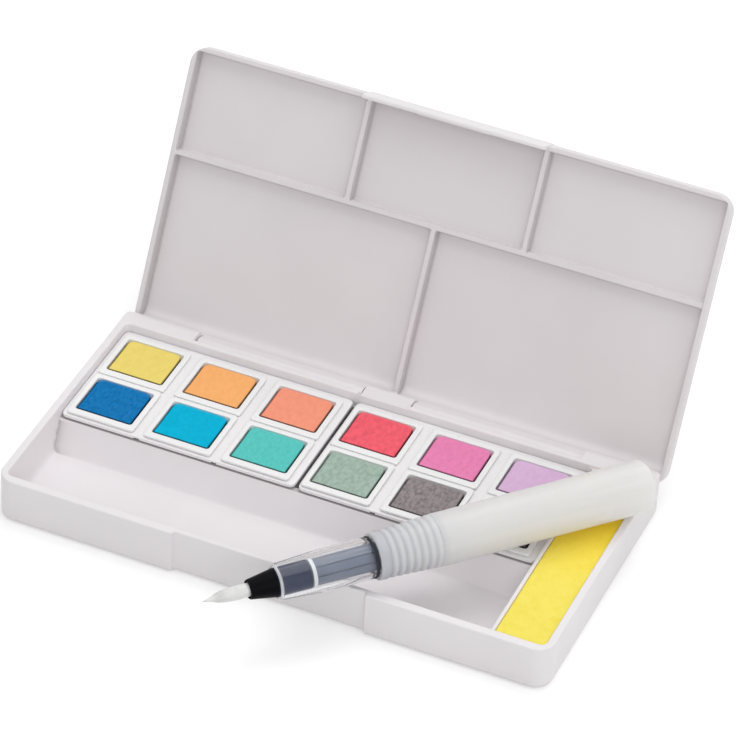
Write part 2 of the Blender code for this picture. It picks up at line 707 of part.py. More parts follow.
def tuft_mesh():
    """Three-sided strands drawn out of one face of a backing disc, swelling to a belly and then to a point."""
    reach = BRISTLE_RADIUS * MM
    half = STRAND_FILL * reach * math.sqrt(math.pi / BRISTLE_STRANDS)
    edge = Vector((reach + TUFT_RIM * MM, 0.0))
    points = [Matrix.Rotation(2 * math.pi * i / TUFT_SIDES, 2) @ edge for i in range(TUFT_SIDES)]
    loops, shares = [list(range(TUFT_SIDES))], []
    for share, angle in strand_places():
        centre = Vector((math.cos(angle), math.sin(angle))) * share * (reach - half)
        first = len(points)
        for corner in range(3):
            turn = angle + corner * 2 * math.pi / 3
            points.append(centre + half * Vector((math.cos(turn), math.sin(turn))))
        loops.append([first, first + 1, first + 2])
        shares.append(share)
    flat, _, faces, _, _, origins = delaunay_2d_cdt(points, [], loops, 1, 1e-9)
    root = (BRISTLE_LENGTH + TUFT_DEPTH) * MM
    bm = bmesh.new()
    verts = [bm.verts.new((p.x, p.y, root)) for p in flat]
    strands = []
    for face, origin in zip(faces, origins):
        made = bm.faces.new([verts[i] for i in face])
        inner = [o for o in origin if o > 0]
        if inner:
            strands.append((made, shares[inner[0] - 1]))
    skirt = bmesh.ops.extrude_edge_only(bm, edges=[e for e in bm.edges if e.is_boundary])
    lower = [v for v in skirt["geom"] if isinstance(v, bmesh.types.BMVert)]
    bmesh.ops.translate(bm, verts=lower, vec=(0, 0, TUFT_BACKING * MM))
    bmesh.ops.contextual_create(bm, geom=[e for e in bm.edges if e.is_boundary])
    draw_strands(bm, strands, root)
    return mesh_from(bm, "brush_tuft")


def draw_strands(bm, strands, root):
    """Extrudes each strand to the belly and on to the tip, all to the same shrinking plan, so none cross.

    The outer strands stop short of the tip by their share of the stagger.
    """
    faces = [face for face, _ in strands]
    scale_before = 1.0
    steps = ((root - BRISTLE_BELLY_RUN * MM, 0.0, BRISTLE_BELLY), (0.0, BRISTLE_STAGGER * MM, BRISTLE_POINT))
    for place, stagger, scale in steps:
        made = bmesh.ops.extrude_discrete_faces(bm, faces=faces)["faces"]
        for face, (_, share) in zip(made, strands):
            for vert in face.verts:
                vert.co.x *= scale / scale_before
                vert.co.y *= scale / scale_before
                vert.co.z = place + share * stagger
        faces = made
        scale_before = scale


def make_brush():
    """The water brush, as turned pieces on one axis, with its tuft."""
    frame = brush_frame()
    pieces = [
        new_object("brush_tuft", tuft_mesh(), PARTS, MATERIALS["bristle"]),
        turned_object("brush_nose", nose_profile(), PARTS, MATERIALS["nose"]),
        turned_object("brush_neck", neck_profile(), PARTS, MATERIALS["clear"]),
        turned_object("brush_feed", feed_profile(), PARTS, MATERIALS["feed"]),
        turned_object("brush_seal", seal_profile(), PARTS, MATERIALS["seal"]),
        turned_object("brush_barrel", barrel_profile(), PARTS, MATERIALS["barrel"]),
    ]
    for piece in pieces:
        piece.parent = frame


clear_scene()
PARTS = new_collection("watercolor_pan_set")
CUTTERS = new_collection("cutters")
MATERIALS = {
    "case": make_material("white_case", (0.82, 0.80, 0.81), 0.45),
    "pan": make_material("white_pan", (0.90, 0.90, 0.89), 0.40),
    "sponge": make_material("yellow_sponge", (0.86, 0.73, 0.10), 0.95),
    "bristle": make_material("white_bristle", (0.80, 0.80, 0.78), 0.50),
    "nose": make_material("black_nose", (0.01, 0.01, 0.01), 0.30),
    "clear": make_material("clear_neck", (0.62, 0.64, 0.66), 0.10),
    "feed": make_material("grey_feed", (0.20, 0.22, 0.25), 0.40),
    "seal": make_material("dark_seal", (0.03, 0.03, 0.04), 0.50),
    "barrel": make_material("milky_barrel", (0.78, 0.77, 0.72), 0.30),
}
make_base()
make_lid()
make_tray("pan_tray_left", TRAY_LEFT_X)
make_tray("pan_tray_right", TRAY_RIGHT_X)
make_pans()
make_sponge()
make_brush()
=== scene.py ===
# %% [markdown]
# # A travel watercolour set, open on a table
# The measured model gives every piece its place and the way it moves. This lesson dresses it: each moulded
# shell, cup, cake and brush part becomes a surface worked out with numpy, and each gets a finish made of
# nodes.

# %% Load the measured model
import math

import bmesh
import bpy
import numpy as np
from mathutils import Matrix


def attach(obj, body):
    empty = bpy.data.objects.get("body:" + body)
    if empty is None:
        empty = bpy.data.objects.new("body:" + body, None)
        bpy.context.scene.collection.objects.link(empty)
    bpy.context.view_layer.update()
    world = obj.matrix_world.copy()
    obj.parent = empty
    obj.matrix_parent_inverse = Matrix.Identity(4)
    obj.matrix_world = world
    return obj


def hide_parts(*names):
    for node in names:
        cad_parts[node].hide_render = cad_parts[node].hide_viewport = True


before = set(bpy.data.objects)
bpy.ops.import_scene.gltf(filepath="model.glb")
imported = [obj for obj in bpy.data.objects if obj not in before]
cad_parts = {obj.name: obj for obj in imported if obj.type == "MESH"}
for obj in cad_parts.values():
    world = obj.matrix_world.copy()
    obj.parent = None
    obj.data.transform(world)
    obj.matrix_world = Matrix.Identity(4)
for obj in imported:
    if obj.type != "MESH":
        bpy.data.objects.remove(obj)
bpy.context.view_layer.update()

MM = 0.001
print("pieces in the measured model:", len(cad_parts))

# %% [markdown]
# ## From arrays to objects
# A surface here is an array of points that lie on a grid. Its faces follow from the grid's numbering alone,
# so they need no loop: every quad joins a point to its neighbours on the right and above. One helper puts
# points and faces into a mesh, merges the points that fall together at seams and poles, and turns all faces
# outwards.

# %% Grid faces and the piece maker
def grid_faces(rows, columns, around=False):
    """Quads of a grid numbered row by row; around also joins the last column to the first."""
    column = np.arange(columns if around else columns - 1)
    row = np.arange(rows - 1)[:, None] * columns
    near, far = row + column, row + (column + 1) % columns
    return np.stack([near, far, far + columns, near + columns], axis=-1).reshape(-1, 4)


def strip_faces(loops):
    """Quads between closed loops of equally many point numbers, each loop joined to the next."""
    here, there = loops[:-1], loops[1:]
    turned = np.roll(here, -1, axis=1), np.roll(there, -1, axis=1)
    return np.stack([here, turned[0], turned[1], there], axis=-1).reshape(-1, 4)


def as_points(x, y, z):
    """Points from arrays of x, y and z that are first brought to one shape."""
    return np.stack(np.broadcast_arrays(x, y, z), axis=-1)


def add_piece(name, points, faces, finish, body, slot, stands_for=(), sharp=38):
    """Makes an object from points in millimetres and quads, and lets it ride on a body of the model."""
    mesh = bpy.data.meshes.new(name)
    mesh.from_pydata((points.reshape(-1, 3) * MM).tolist(), [], faces.tolist())
    shape = bmesh.new()
    shape.from_mesh(mesh)
    bmesh.ops.remove_doubles(shape, verts=shape.verts, dist=1e-7)
    bmesh.ops.recalc_face_normals(shape, faces=shape.faces)
    shape.to_mesh(mesh)
    shape.free()
    mesh.shade_smooth()
    mesh.set_sharp_from_angle(angle=math.radians(sharp))
    mesh.materials.append(finish)
    piece = bpy.data.objects.new(name, mesh)
    bpy.context.scene.collection.objects.link(piece)
    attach(piece, body)
    if stands_for:
        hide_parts(*stands_for)
    print(f"{name}: {len(mesh.polygons)} faces")
    return piece


# %% [markdown]
# ## Finishes from nodes
# No surface of the real set is one flat colour: moulded plastic has a faint cloudiness and a fine grain,
# and paint dries in streaks. So every finish below mixes two close colours by noise on the object's own
# coordinates. In most of them noise also moves the roughness, and in some a finer noise gives the grain.

# %% Helpers for node finishes
def start_finish(name):
    """A new material with its node tree, its shader and the object's own coordinates."""
    material = bpy.data.materials.new(name)
    material.use_nodes = True
    tree = material.node_tree
    place = tree.nodes.new("ShaderNodeTexCoord").outputs["Object"]
    return material, tree, tree.nodes["Principled BSDF"], place


def fill(tree, node, values):
    """Fills a node's inputs, by name or number: a socket is linked, and anything else is set."""
    for name, value in values.items():
        if isinstance(value, bpy.types.NodeSocket):
            tree.links.new(value, node.inputs[name])
        else:
            node.inputs[name].default_value = value


def add_node(tree, kind, values):
    """A new shader node with its inputs filled."""
    node = tree.nodes.new(f"ShaderNode{kind}")
    fill(tree, node, values)
    return node


def stretched(tree, place, scale):
    """The coordinates with each axis scaled by its own factor, which draws a pattern out into streaks."""
    return add_node(tree, "Mapping", {"Vector": place, "Scale": scale}).outputs["Vector"]


def noise(tree, place, scale, detail=3.0):
    """Soft noise from 0 to 1 with so many cells to the metre."""
    return add_node(tree, "TexNoise", {"Vector": place, "Scale": scale, "Detail": detail}).outputs["Fac"]


def between(tree, amount, low, high, start=0.3, end=0.7):
    """Maps amounts from start to end onto numbers, or onto colours given as three numbers."""
    if isinstance(low, (int, float)):
        limits = {"From Min": start, "From Max": end, "To Min": low, "To Max": high}
        return add_node(tree, "MapRange", {"Value": amount, **limits}).outputs["Result"]
    ramp = add_node(tree, "ValToRGB", {"Fac": amount})
    for element, position, colour in zip(ramp.color_ramp.elements, (start, end), (low, high)):
        element.position = position
        element.color = (*colour, 1.0)
    return ramp.outputs["Color"]


def add_bump(tree, shader, amount, depth_mm, strength=1.0):
    """Lets an amount from 0 to 1 stand for a relief of so many millimetres."""
    bump = add_node(tree, "Bump", {"Height": amount, "Distance": depth_mm * MM, "Strength": strength})
    fill(tree, shader, {"Normal": bump.outputs["Normal"]})


def mixed(tree, amount, first, second):
    """Mixes a colour that comes from a node with one given as three numbers, by an amount from 0 to 1."""
    mix = tree.nodes.new("ShaderNodeMix")
    mix.data_type = "RGBA"
    fill(tree, mix, {0: amount, 6: first, 7: (*second, 1.0)})
    return mix.outputs[2]


def mark(tree, name):
    """Reads a number that was stored for each point of the piece."""
    node = tree.nodes.new("ShaderNodeAttribute")
    node.attribute_name = name
    return node.outputs["Fac"]


def add_mark(piece, name, amount):
    """Stores a number for each point of a piece, worked out at once from all their places in millimetres."""
    flat = np.empty(len(piece.data.vertices) * 3)
    piece.data.vertices.foreach_get("co", flat)
    values = amount(*(flat.reshape(-1, 3).T / MM))
    piece.data.attributes.new(name, "FLOAT", "POINT").data.foreach_set("value", values.astype(np.float32))


def srgb(red, green, blue):
    """A colour as seen on screen, from 0 to 255, turned into the linear values that a shader takes."""
    level = np.array([red, green, blue]) / 255
    return tuple(np.where(level <= 0.04045, level / 12.92, ((level + 0.055) / 1.055) ** 2.4).tolist())


def scaled(colour, factor):
    """A colour made deeper or paler by a factor."""
    return tuple(c * factor for c in colour)


# %% [markdown]
# The box and the cups are moulded in white plastic. The box has a fine matt grain from its mould, and the
# cups are smoother, so that their rims catch a brighter line of light. The lid is the palette: its white is
# set a shade greyer than the box's as painted shade, and painted shade greys its wells' corners most.

# %% White moulded plastic
def moulded_plastic(name, light, shade, roughness, grain_mm):
    """Cloudy white with a fine mould grain: slow noise for the colour, quick noise for the bump."""
    material, tree, shader, place = start_finish(name)
    cloud, handling = noise(tree, place, 35.0, 4.0), noise(tree, place, 90.0)
    fill(tree, shader, {
        "Base Color": between(tree, cloud, shade, light),
        "Roughness": between(tree, handling, roughness - 0.06, roughness + 0.06),
        "IOR": 1.5,
    })
    add_bump(tree, shader, noise(tree, place, 2600.0, 2.0), grain_mm, 0.6)
    return material


def paint_corner_shade(material):
    """Paints shade, as grey, into the corners of wells and the gap under the trays, by the number stored on
    the points.
    """
    tree = material.node_tree
    colour = tree.nodes["Principled BSDF"].inputs["Base Color"]
    clean = colour.links[0].from_socket
    amount = between(tree, mark(tree, "corner"), 0.0, 0.75, 0.0, 1.0)
    tree.links.new(mixed(tree, amount, clean, srgb(168, 162, 164)), colour)


case_white = moulded_plastic("case_white", srgb(236, 232, 234), srgb(231, 227, 229), 0.42, 0.012)
# Painted shade: the lid's white is set a shade greyer than the box's, standing in for the light it gets less
# of.
palette_shaded_white = moulded_plastic("palette_shaded_white", srgb(227, 222, 224), srgb(222, 217, 219), 0.36, 0.008)
# Painted shade: both whites grey where the corner number is stored, in the lid's wells, under its tab, under
# the trays and in the trough.
for plastic in (case_white, palette_shaded_white):
    paint_corner_shade(plastic)
cup_white = moulded_plastic("cup_white", srgb(243, 243, 243), srgb(238, 238, 238), 0.30, 0.006)
print("plastics:", case_white.name, palette_shaded_white.name, cup_white.name)

# %% [markdown]
# ## A moulded shell as one skin
# A moulded tray could be a box with Boolean cuts and bevels, but its soft inner edges then depend on luck.
# Seen from above it is a height for every point, so it is made as a height map instead. The grid's lines
# crowd together at the walls. Its corner squares are pulled into quarter discs, so that the lines run round
# the corners with the wall.

# %% Distances, profiles and grid lines
def inside_distance(x, y, low, high, corner):
    """How far a point lies inside a rounded rectangle: the corner radius less the distance to the core."""
    side_x = np.abs(x - (low[0] + high[0]) / 2) - (high[0] - low[0]) / 2 + corner
    side_y = np.abs(y - (low[1] + high[1]) / 2) - (high[1] - low[1]) / 2 + corner
    outside = np.hypot(np.maximum(side_x, 0), np.maximum(side_y, 0))
    return corner - outside - np.minimum(np.maximum(side_x, side_y), 0)


def hollow(inside, top, floor, edge, fillet, draft):
    """Height at a distance inside a hollow's outline: a round edge, a slightly sloped wall, then a fillet."""
    turn = np.linspace(0, np.pi / 2, 9)
    run = np.concatenate([edge * (np.sin(turn) - 1), draft + fillet * (1 - np.cos(turn))])
    height = np.concatenate([top - edge * (1 - np.cos(turn)), floor + fillet * (1 - np.sin(turn))])
    return np.interp(inside, run, height)


CLOSE = np.array([
    -0.6, -0.45, -0.38, -0.28, -0.17, -0.07, 0, 0.06, 0.12, 0.2, 0.3, 0.45, 0.65, 0.9, 1.2, 1.5, 1.8, 2.3,
])


def crowded_lines(low, high, spacing, walls, singles=()):
    """Even lines, a crowd at each wall and single lines; a wall is its face and the side it opens to."""
    even = np.linspace(low, high, int((high - low) / spacing) + 1)
    crowd = [face + side * CLOSE for face, side in walls]
    lines = np.unique(np.round(np.concatenate([even, *crowd, np.asarray(singles, float)]), 3))
    lines = lines[(lines > low + 0.02) & (lines < high - 0.02)]
    kept = np.concatenate([[True], np.diff(lines) > 0.015])
    return np.concatenate([[low], lines[kept], [high]])


# %% The shell itself
def edge_loop(rows, columns):
    """The numbers of a grid's outermost points, once round."""
    number = np.arange(rows * columns).reshape(rows, columns)
    return np.concatenate([number[0, :-1], number[:-1, -1], number[-1, :0:-1], number[:0:-1, 0]])


def moulded_shell(xs, ys, corner, core_x, core_y, outline_corner, height, band, edge, foot, shift=None):
    """Points and faces of a closed skin with a height map on top, an outer wall and a flat cap below.

    Each grid point is its nearest point of the core rectangle plus a step out of it. On the cap and the
    outer wall the core is stretched by core_x and core_y, and the step grows to the outline's corner radius,
    which may change from the front to the back.
    """
    x, y = np.meshgrid(xs, ys)
    heart_x = np.clip(x, xs[0] + corner, xs[-1] - corner)
    heart_y = np.clip(y, ys[0] + corner, ys[-1] - corner)
    step_x, step_y = x - heart_x, y - heart_y
    span = np.maximum(np.hypot(step_x, step_y), 1e-9)
    reach = np.maximum(np.abs(step_x), np.abs(step_y)) / corner
    way_x, way_y = step_x / span, step_y / span
    front_corner, back_corner = np.broadcast_to(outline_corner, 2)
    out_corner = np.interp(heart_y, core_y[0], [front_corner, front_corner, back_corner, back_corner])
    grown, sides = front_corner - out_corner, [-1, 0, 0, 1]
    far_x = np.interp(heart_x, *core_x) + grown * np.interp(heart_x, core_x[0], sides)
    far_y = np.interp(heart_y, *core_y) + grown * np.interp(heart_y, core_y[0], sides)

    def outline(inset):
        """The stretched core plus a step as long as the outline's corner radius less the inset."""
        flat_x = far_x + way_x * reach * (out_corner - inset)
        flat_y = far_y + way_y * reach * (out_corner - inset)
        return (flat_x, flat_y) if shift is None else shift(flat_x, flat_y)

    top_x, top_y = heart_x + way_x * reach * corner, heart_y + way_y * reach * corner
    loop = edge_loop(len(ys), len(xs))
    skin = [as_points(top_x, top_y, height(top_x, top_y)).reshape(-1, 3)]
    rim_x, rim_y = (flat.ravel()[loop] for flat in outline(edge[0][0]))
    start_x, start_y = top_x.ravel()[loop], top_y.ravel()[loop]
    for share in band:
        here_x, here_y = start_x + (rim_x - start_x) * share, start_y + (rim_y - start_y) * share
        skin.append(as_points(here_x, here_y, height(here_x, here_y)))
    crest = skin[-1][:, 2]
    for inset, drop in edge[1:]:
        here_x, here_y = (flat.ravel()[loop] for flat in outline(inset))
        skin.append(as_points(here_x, here_y, crest - drop))
    for inset, level in foot[:-1]:
        here_x, here_y = (flat.ravel()[loop] for flat in outline(inset))
        skin.append(as_points(here_x, here_y, level))
    cap_x, cap_y = outline(foot[-1][0])
    skin.append(as_points(cap_x, cap_y, foot[-1][1]).reshape(-1, 3))

    grid = grid_faces(len(ys), len(xs))
    rings = x.size + np.arange((len(skin) - 2) * len(loop)).reshape(-1, len(loop))
    cap_start = x.size + rings.size
    loops = np.vstack([loop, rings, cap_start + loop])
    return np.concatenate(skin), np.concatenate([grid, strip_faces(loops), cap_start + grid])


def core_stops(low, high, corner, out_low, out_high, out_corner, steady):
    """Stops that stretch a core: its ends lie a corner radius inside the hollows, then inside the outline."""
    return [low + corner, *steady, high - corner], [out_low + out_corner, *steady, out_high - out_corner]


def quarter_round(radius, steps=5):
    """Insets and drops of a rounded edge, from the flat to the upright side."""
    turn = np.linspace(0, np.pi / 2, steps)
    return list(zip(radius * (1 - np.sin(turn)), radius * (1 - np.cos(turn))))


# %% [markdown]
# ## The lower shell
# The lower shell holds a long trough for the brush, a well for the two pan trays and a bay for the sponge.
# Each is a hollow with its own floor, and the lowest one wins at every point. Along the back the height map
# also carries the hinge: two end blocks rounded about the axis, the long pockets for the lid's knuckles
# with the slope that stops the lid, and a low block in the middle.

# %% Heights of the lower shell
RIM, FLOOR, SEAT, EDGE = 11.9, 1.5, 8.5, 0.35
AXIS_Y, AXIS_Z, OPEN_ANGLE = 34.5, 8.9, math.radians(117)
BLOCK_ROUND, POCKET_ROUND, STOP_START, STOP_HEIGHT = 3.0, 2.35, 0.66, 6.644
POCKET_ENDS, CENTRE_ENDS, CENTRE_TOP = [6.25, 6.35, 50.95, 51.05], [6.55, 6.65], 10.9
NO_LIMIT = 99.0
LEFT, RIGHT, FRONT, REAR = -68.6, 68.1, -34.1, 30.95
MID_WALL, MID_FACE, BAY_LEFT, BAY_RIGHT, BAY_TOP = -5.93, -6.14, 54.64, 55.54, 11.2
WELL_LEFT, WELL_RIGHT, WELL_FRONT, WELL_REAR = -66.9, 53.44, MID_WALL + 1.5, 29.75
HOLLOW_CORNER, SQUARE_CORNER, DRAFT, TROUGH_FILLET, TROUGH_DRAFT = 1.6, 0.3, 0.14, 1.5, 0.6
MID_ROUND, BAY_ROUND, END_MARGIN = 0.4, 0.2, 0.4
SLOPE_TOP, SLOPE_FALL, SLOPE_FOOT, SLOPE_SOFT = SEAT - MID_ROUND, 1.52, -8.5, 0.4


def round_top(behind, top, radius):
    """A wall's rounded top: the height at a distance behind its face, a quarter circle and then flat."""
    inner = np.clip(behind, 0, radius)
    return np.where(behind < 0, NO_LIMIT, top - radius + np.sqrt(radius ** 2 - (radius - inner) ** 2))


def hinge_height(x, y):
    """Tops of the hinge blocks, with pockets round the axis that end in the stop's slope."""
    behind = y - AXIS_Y
    block = np.where(behind > 0, AXIS_Z + np.sqrt(np.maximum(BLOCK_ROUND ** 2 - behind ** 2, 0)), RIM)
    arc = AXIS_Z - np.sqrt(np.maximum(POCKET_ROUND ** 2 - behind ** 2, 0))
    slope = STOP_HEIGHT - (behind - STOP_START) * math.tan(OPEN_ANGLE - math.pi / 2)
    pocket = np.where(behind < -POCKET_ROUND, RIM, np.where(behind < STOP_START, arc, slope))
    share = np.interp(np.abs(x), POCKET_ENDS, [0, 1, 1, 0])
    centre = np.interp(np.abs(x), CENTRE_ENDS, [CENTRE_TOP, NO_LIMIT])
    return np.minimum(block + (pocket - block) * share, centre)


def mid_slope(y):
    """The trough's sloped rear wall: the height falls evenly from the middle wall's top towards the front."""
    return np.minimum(SLOPE_TOP, SLOPE_TOP + (y - MID_FACE) * SLOPE_FALL)


def base_height(x, y):
    """The lowest of the hollows' heights, with round tops on both inner walls and a slope in the trough."""
    # The trough, its squarer rear, the tray well, its ledge, the sponge bay, and the top of the bay's wall.
    hollows = [
        ((LEFT, FRONT), (BAY_LEFT, MID_WALL), HOLLOW_CORNER, FLOOR, TROUGH_FILLET, TROUGH_DRAFT),
        ((LEFT, FRONT + 6), (BAY_LEFT, MID_WALL), SQUARE_CORNER, FLOOR, TROUGH_FILLET, TROUGH_DRAFT),
        ((WELL_LEFT, WELL_FRONT), (WELL_RIGHT, WELL_REAR), HOLLOW_CORNER, FLOOR, 0.4, DRAFT),
        ((LEFT, MID_WALL - 2), (BAY_LEFT, REAR), HOLLOW_CORNER, SEAT, 0.2, DRAFT),
        ((BAY_RIGHT, FRONT), (RIGHT, REAR), HOLLOW_CORNER, FLOOR, 0.9, DRAFT),
        ((BAY_LEFT - 2, FRONT), (BAY_RIGHT + 3, REAR), SQUARE_CORNER, BAY_TOP, 0.1, DRAFT),
    ]
    heights = [
        hollow(inside_distance(x, y, low, high, corner), RIM, floor, EDGE, fillet, draft)
        for low, high, corner, floor, fillet, draft in hollows
    ]
    on_mid_wall = (x > LEFT + END_MARGIN) & (x < BAY_LEFT) & (y < MID_WALL + 1)
    on_bay_wall = (y > FRONT + END_MARGIN) & (y < REAR - END_MARGIN)
    mid_top = np.where(on_mid_wall, round_top(y - MID_FACE, SEAT, MID_ROUND), NO_LIMIT)
    in_bay_wall = np.minimum(x - BAY_LEFT, BAY_RIGHT - x)
    bay_top = np.where(on_bay_wall, round_top(in_bay_wall, BAY_TOP, BAY_ROUND), NO_LIMIT)
    inner = np.minimum.reduce([*heights, mid_top, bay_top])
    soft = SLOPE_SOFT * np.clip(SLOPE_FOOT - y, 0, 1)
    sloped = (inner + mid_slope(y)) / 2 + np.hypot(inner - mid_slope(y), soft) / 2
    inner = np.where((y < MID_FACE) & (x < BAY_LEFT), sloped, inner)
    return np.where(y > REAR, np.minimum(inner, hinge_height(x, y)), inner)


# %% The lower shell as a piece
RECESS_HALF, RECESS_RAMP, RECESS_DEPTH, RECESS_BACK, RECESS_FADE = 24.7, 0.6, 1.1, -25, 9.5
CASE_LEFT, CASE_RIGHT, CASE_FRONT, CASE_BACK = -70.5, 70.0, -36.5, 36.5
CASE_CORNER, CASE_REAR_CORNER, RIM_ROUND = 4.5, 1.7, 0.4
RIM_BAND = [0.08, 0.145, 0.165, 0.22, 0.3, 0.4, 0.52, 0.64, 0.74, 0.8, 0.87, 0.94, 1.0]
CASE_FOOT = [(0.0, 1.2), (0.1, 0.73), (0.35, 0.35), (0.73, 0.1), (1.2, 0.0)]


def finger_recess(x, y):
    """Moves the front wall back where fingers reach the lid, fading out towards the middle of the box."""
    share = np.clip((RECESS_HALF - np.abs(x)) / RECESS_RAMP, 0, 1)
    depth = RECESS_DEPTH * share ** 2 * (3 - 2 * share)
    return x, y + depth * np.clip((RECESS_BACK - y) / RECESS_FADE, 0, 1)


xs = crowded_lines(
    LEFT - EDGE, RIGHT + EDGE, 3.0, [(LEFT, 1), (BAY_LEFT, -1), (BAY_RIGHT, 1), (RIGHT, -1)],
    [s * v for s in (-1, 1) for v in (*POCKET_ENDS, *CENTRE_ENDS, *np.linspace(23.4, 24.8, 15))],
)
ys = crowded_lines(
    FRONT - EDGE, REAR + EDGE, 3.0, [(FRONT, 1), (MID_WALL, -1), (REAR, -1)],
    [*np.linspace(-12, -9, 11), -4.5, WELL_FRONT, -4.3, 29.6, WELL_REAR, 29.9],
)
core_x = core_stops(LEFT, RIGHT, HOLLOW_CORNER, CASE_LEFT, CASE_RIGHT, CASE_CORNER, (-60, 60))
core_y = core_stops(FRONT, REAR, HOLLOW_CORNER, CASE_FRONT, CASE_BACK, CASE_CORNER, (-28, 25))
points, faces = moulded_shell(
    xs, ys, HOLLOW_CORNER + EDGE, core_x, core_y, (CASE_CORNER, CASE_REAR_CORNER), base_height, RIM_BAND,
    quarter_round(RIM_ROUND), CASE_FOOT, finger_recess,
)
case_shell = add_piece("case_shell", points, faces, case_white, "case", "case", ["case_base"])


def shell_painted_shade(x, y, z):
    """Painted shade, full on the ledge below the trays, whose gap is dark, and strong in the trough's left
    rear corner.
    """
    ledge = np.clip((y - MID_WALL - 0.05) / 0.1, 0, 1) * (np.abs(z - SEAT) < 0.1) * (x < BAY_LEFT)
    from_wall = np.maximum(x - LEFT - np.interp(z, [FLOOR, FLOOR + 1.5, RIM], [2.0, 0.6, 0.0]), 0)
    on_slope = np.clip(1.6 - np.abs(z - mid_slope(y)) / 0.6, 0, 1) * (y > -10.6) * (y < MID_FACE)
    inner_left = (x > LEFT - EDGE - 0.1) * (x < 0)
    upright = on_slope * inner_left * (0.6 * np.exp(-from_wall / 0.9) + 0.3 * np.exp(-from_wall / 3))
    return np.maximum(ledge, upright)


add_mark(case_shell, "corner", shell_painted_shade)

# %% [markdown]
# ## The lid
# The lid is a mixing palette: three small wells along its free edge and two large ones by the hinge, with
# thin dividers that stop short of the rim. It is the same kind of skin, laid on its back. It is worked out
# in the lid's own measures, across and away from the hinge, and then turned with the lid to its open stop.

# %% The palette lid
LID_PLANE = 3.3


def on_lid(x, away, rise):
    """From the lid's own measures to the open box: lay it shut over the axis, then turn by the open angle."""
    y, z = -away, LID_PLANE - rise
    turn_y = y * math.cos(OPEN_ANGLE) + z * math.sin(OPEN_ANGLE)
    turn_z = z * math.cos(OPEN_ANGLE) - y * math.sin(OPEN_ANGLE)
    return as_points(x, turn_y + AXIS_Y, turn_z + AXIS_Z)


LID_LEFT, LID_RIGHT, LID_NEAR, LID_FAR, LID_EDGE, LID_CORNER = -68.6, 69.1, 2.0, 69.6, 0.25, 1.0
LID_OUTER_LEFT, LID_OUTER_RIGHT, LID_OUTER_NEAR, LID_OUTER_FAR = -70.0, 70.5, -1.41, 71.0
LID_ROUND, LID_BACK = 0.3, [(0.0, -2.6), (0.1, -3.13), (0.4, -3.58), (0.85, -3.9), (1.4, -4.0)]
DIVIDER_X, CROSS_DIVIDER, HALF_DIVIDER, COVE = 23.1, 43.9, 0.65, 2.4
SMALL_NEAR, LARGE_FAR = CROSS_DIVIDER + HALF_DIVIDER, CROSS_DIVIDER - HALF_DIVIDER
SMALL_OUTER, SMALL_INNER = DIVIDER_X + HALF_DIVIDER, DIVIDER_X - HALF_DIVIDER
DIVIDER_DROP, WELL_DROP, WELL_CORNER = 0.6, 2.4, 0.7
WELL_EDGE, WELL_FILLET, WELL_DRAFT = 0.16, 0.25, 0.08
WELLS = [
    ((LID_LEFT, SMALL_NEAR), (-SMALL_OUTER, LID_FAR)),
    ((-SMALL_INNER, SMALL_NEAR), (SMALL_INNER, LID_FAR)),
    ((SMALL_OUTER, SMALL_NEAR), (LID_RIGHT, LID_FAR)),
    ((LID_LEFT, LID_NEAR), (-HALF_DIVIDER, LARGE_FAR)),
    ((HALF_DIVIDER, LID_NEAR), (LID_RIGHT, LARGE_FAR)),
]


def lid_height(x, away):
    """The rim's drop to the dividers' tops, plus the drop into each well, and a cove on the hinge side."""
    whole = (LID_LEFT, LID_NEAR), (LID_RIGHT, LID_FAR)
    rise = hollow(inside_distance(x, away, *whole, LID_CORNER), 0, -DIVIDER_DROP, LID_EDGE, 0.1, 0.05)
    for well in WELLS:
        inside = inside_distance(x, away, *well, WELL_CORNER)
        rise = rise + hollow(inside, 0, -WELL_DROP, WELL_EDGE, WELL_FILLET, WELL_DRAFT)
    to_floor = COVE - np.clip(away - LID_NEAR, 0, COVE)
    return np.maximum(rise, COVE - DIVIDER_DROP - WELL_DROP - np.sqrt(COVE ** 2 - to_floor ** 2))


xs = crowded_lines(
    LID_LEFT - LID_EDGE, LID_RIGHT + LID_EDGE, 3.0,
    [(LID_LEFT, 1), (LID_RIGHT, -1),
     *((m + s * HALF_DIVIDER, s) for m in (-DIVIDER_X, 0, DIVIDER_X) for s in (-1, 1))],
)
ys = crowded_lines(
    LID_NEAR - LID_EDGE, LID_FAR + LID_EDGE, 3.0,
    [(LID_NEAR, 1), (LARGE_FAR, -1), (SMALL_NEAR, 1), (LID_FAR, -1)],
)
core_x = core_stops(LID_LEFT, LID_RIGHT, LID_CORNER, LID_OUTER_LEFT, LID_OUTER_RIGHT, CASE_CORNER, (-60, 60))
core_y = core_stops(LID_NEAR, LID_FAR, LID_CORNER, LID_OUTER_NEAR, LID_OUTER_FAR, CASE_CORNER, (10, 60))
points, faces = moulded_shell(
    xs, ys, LID_CORNER + LID_EDGE, core_x, core_y, CASE_CORNER, lid_height, [0.25, 0.5, 0.75, 1.0],
    quarter_round(LID_ROUND), LID_BACK,
)
points = on_lid(*points.T)
palette_lid = add_piece("palette_lid", points, faces, palette_shaded_white, "lid", "case", ["lid_palette"])


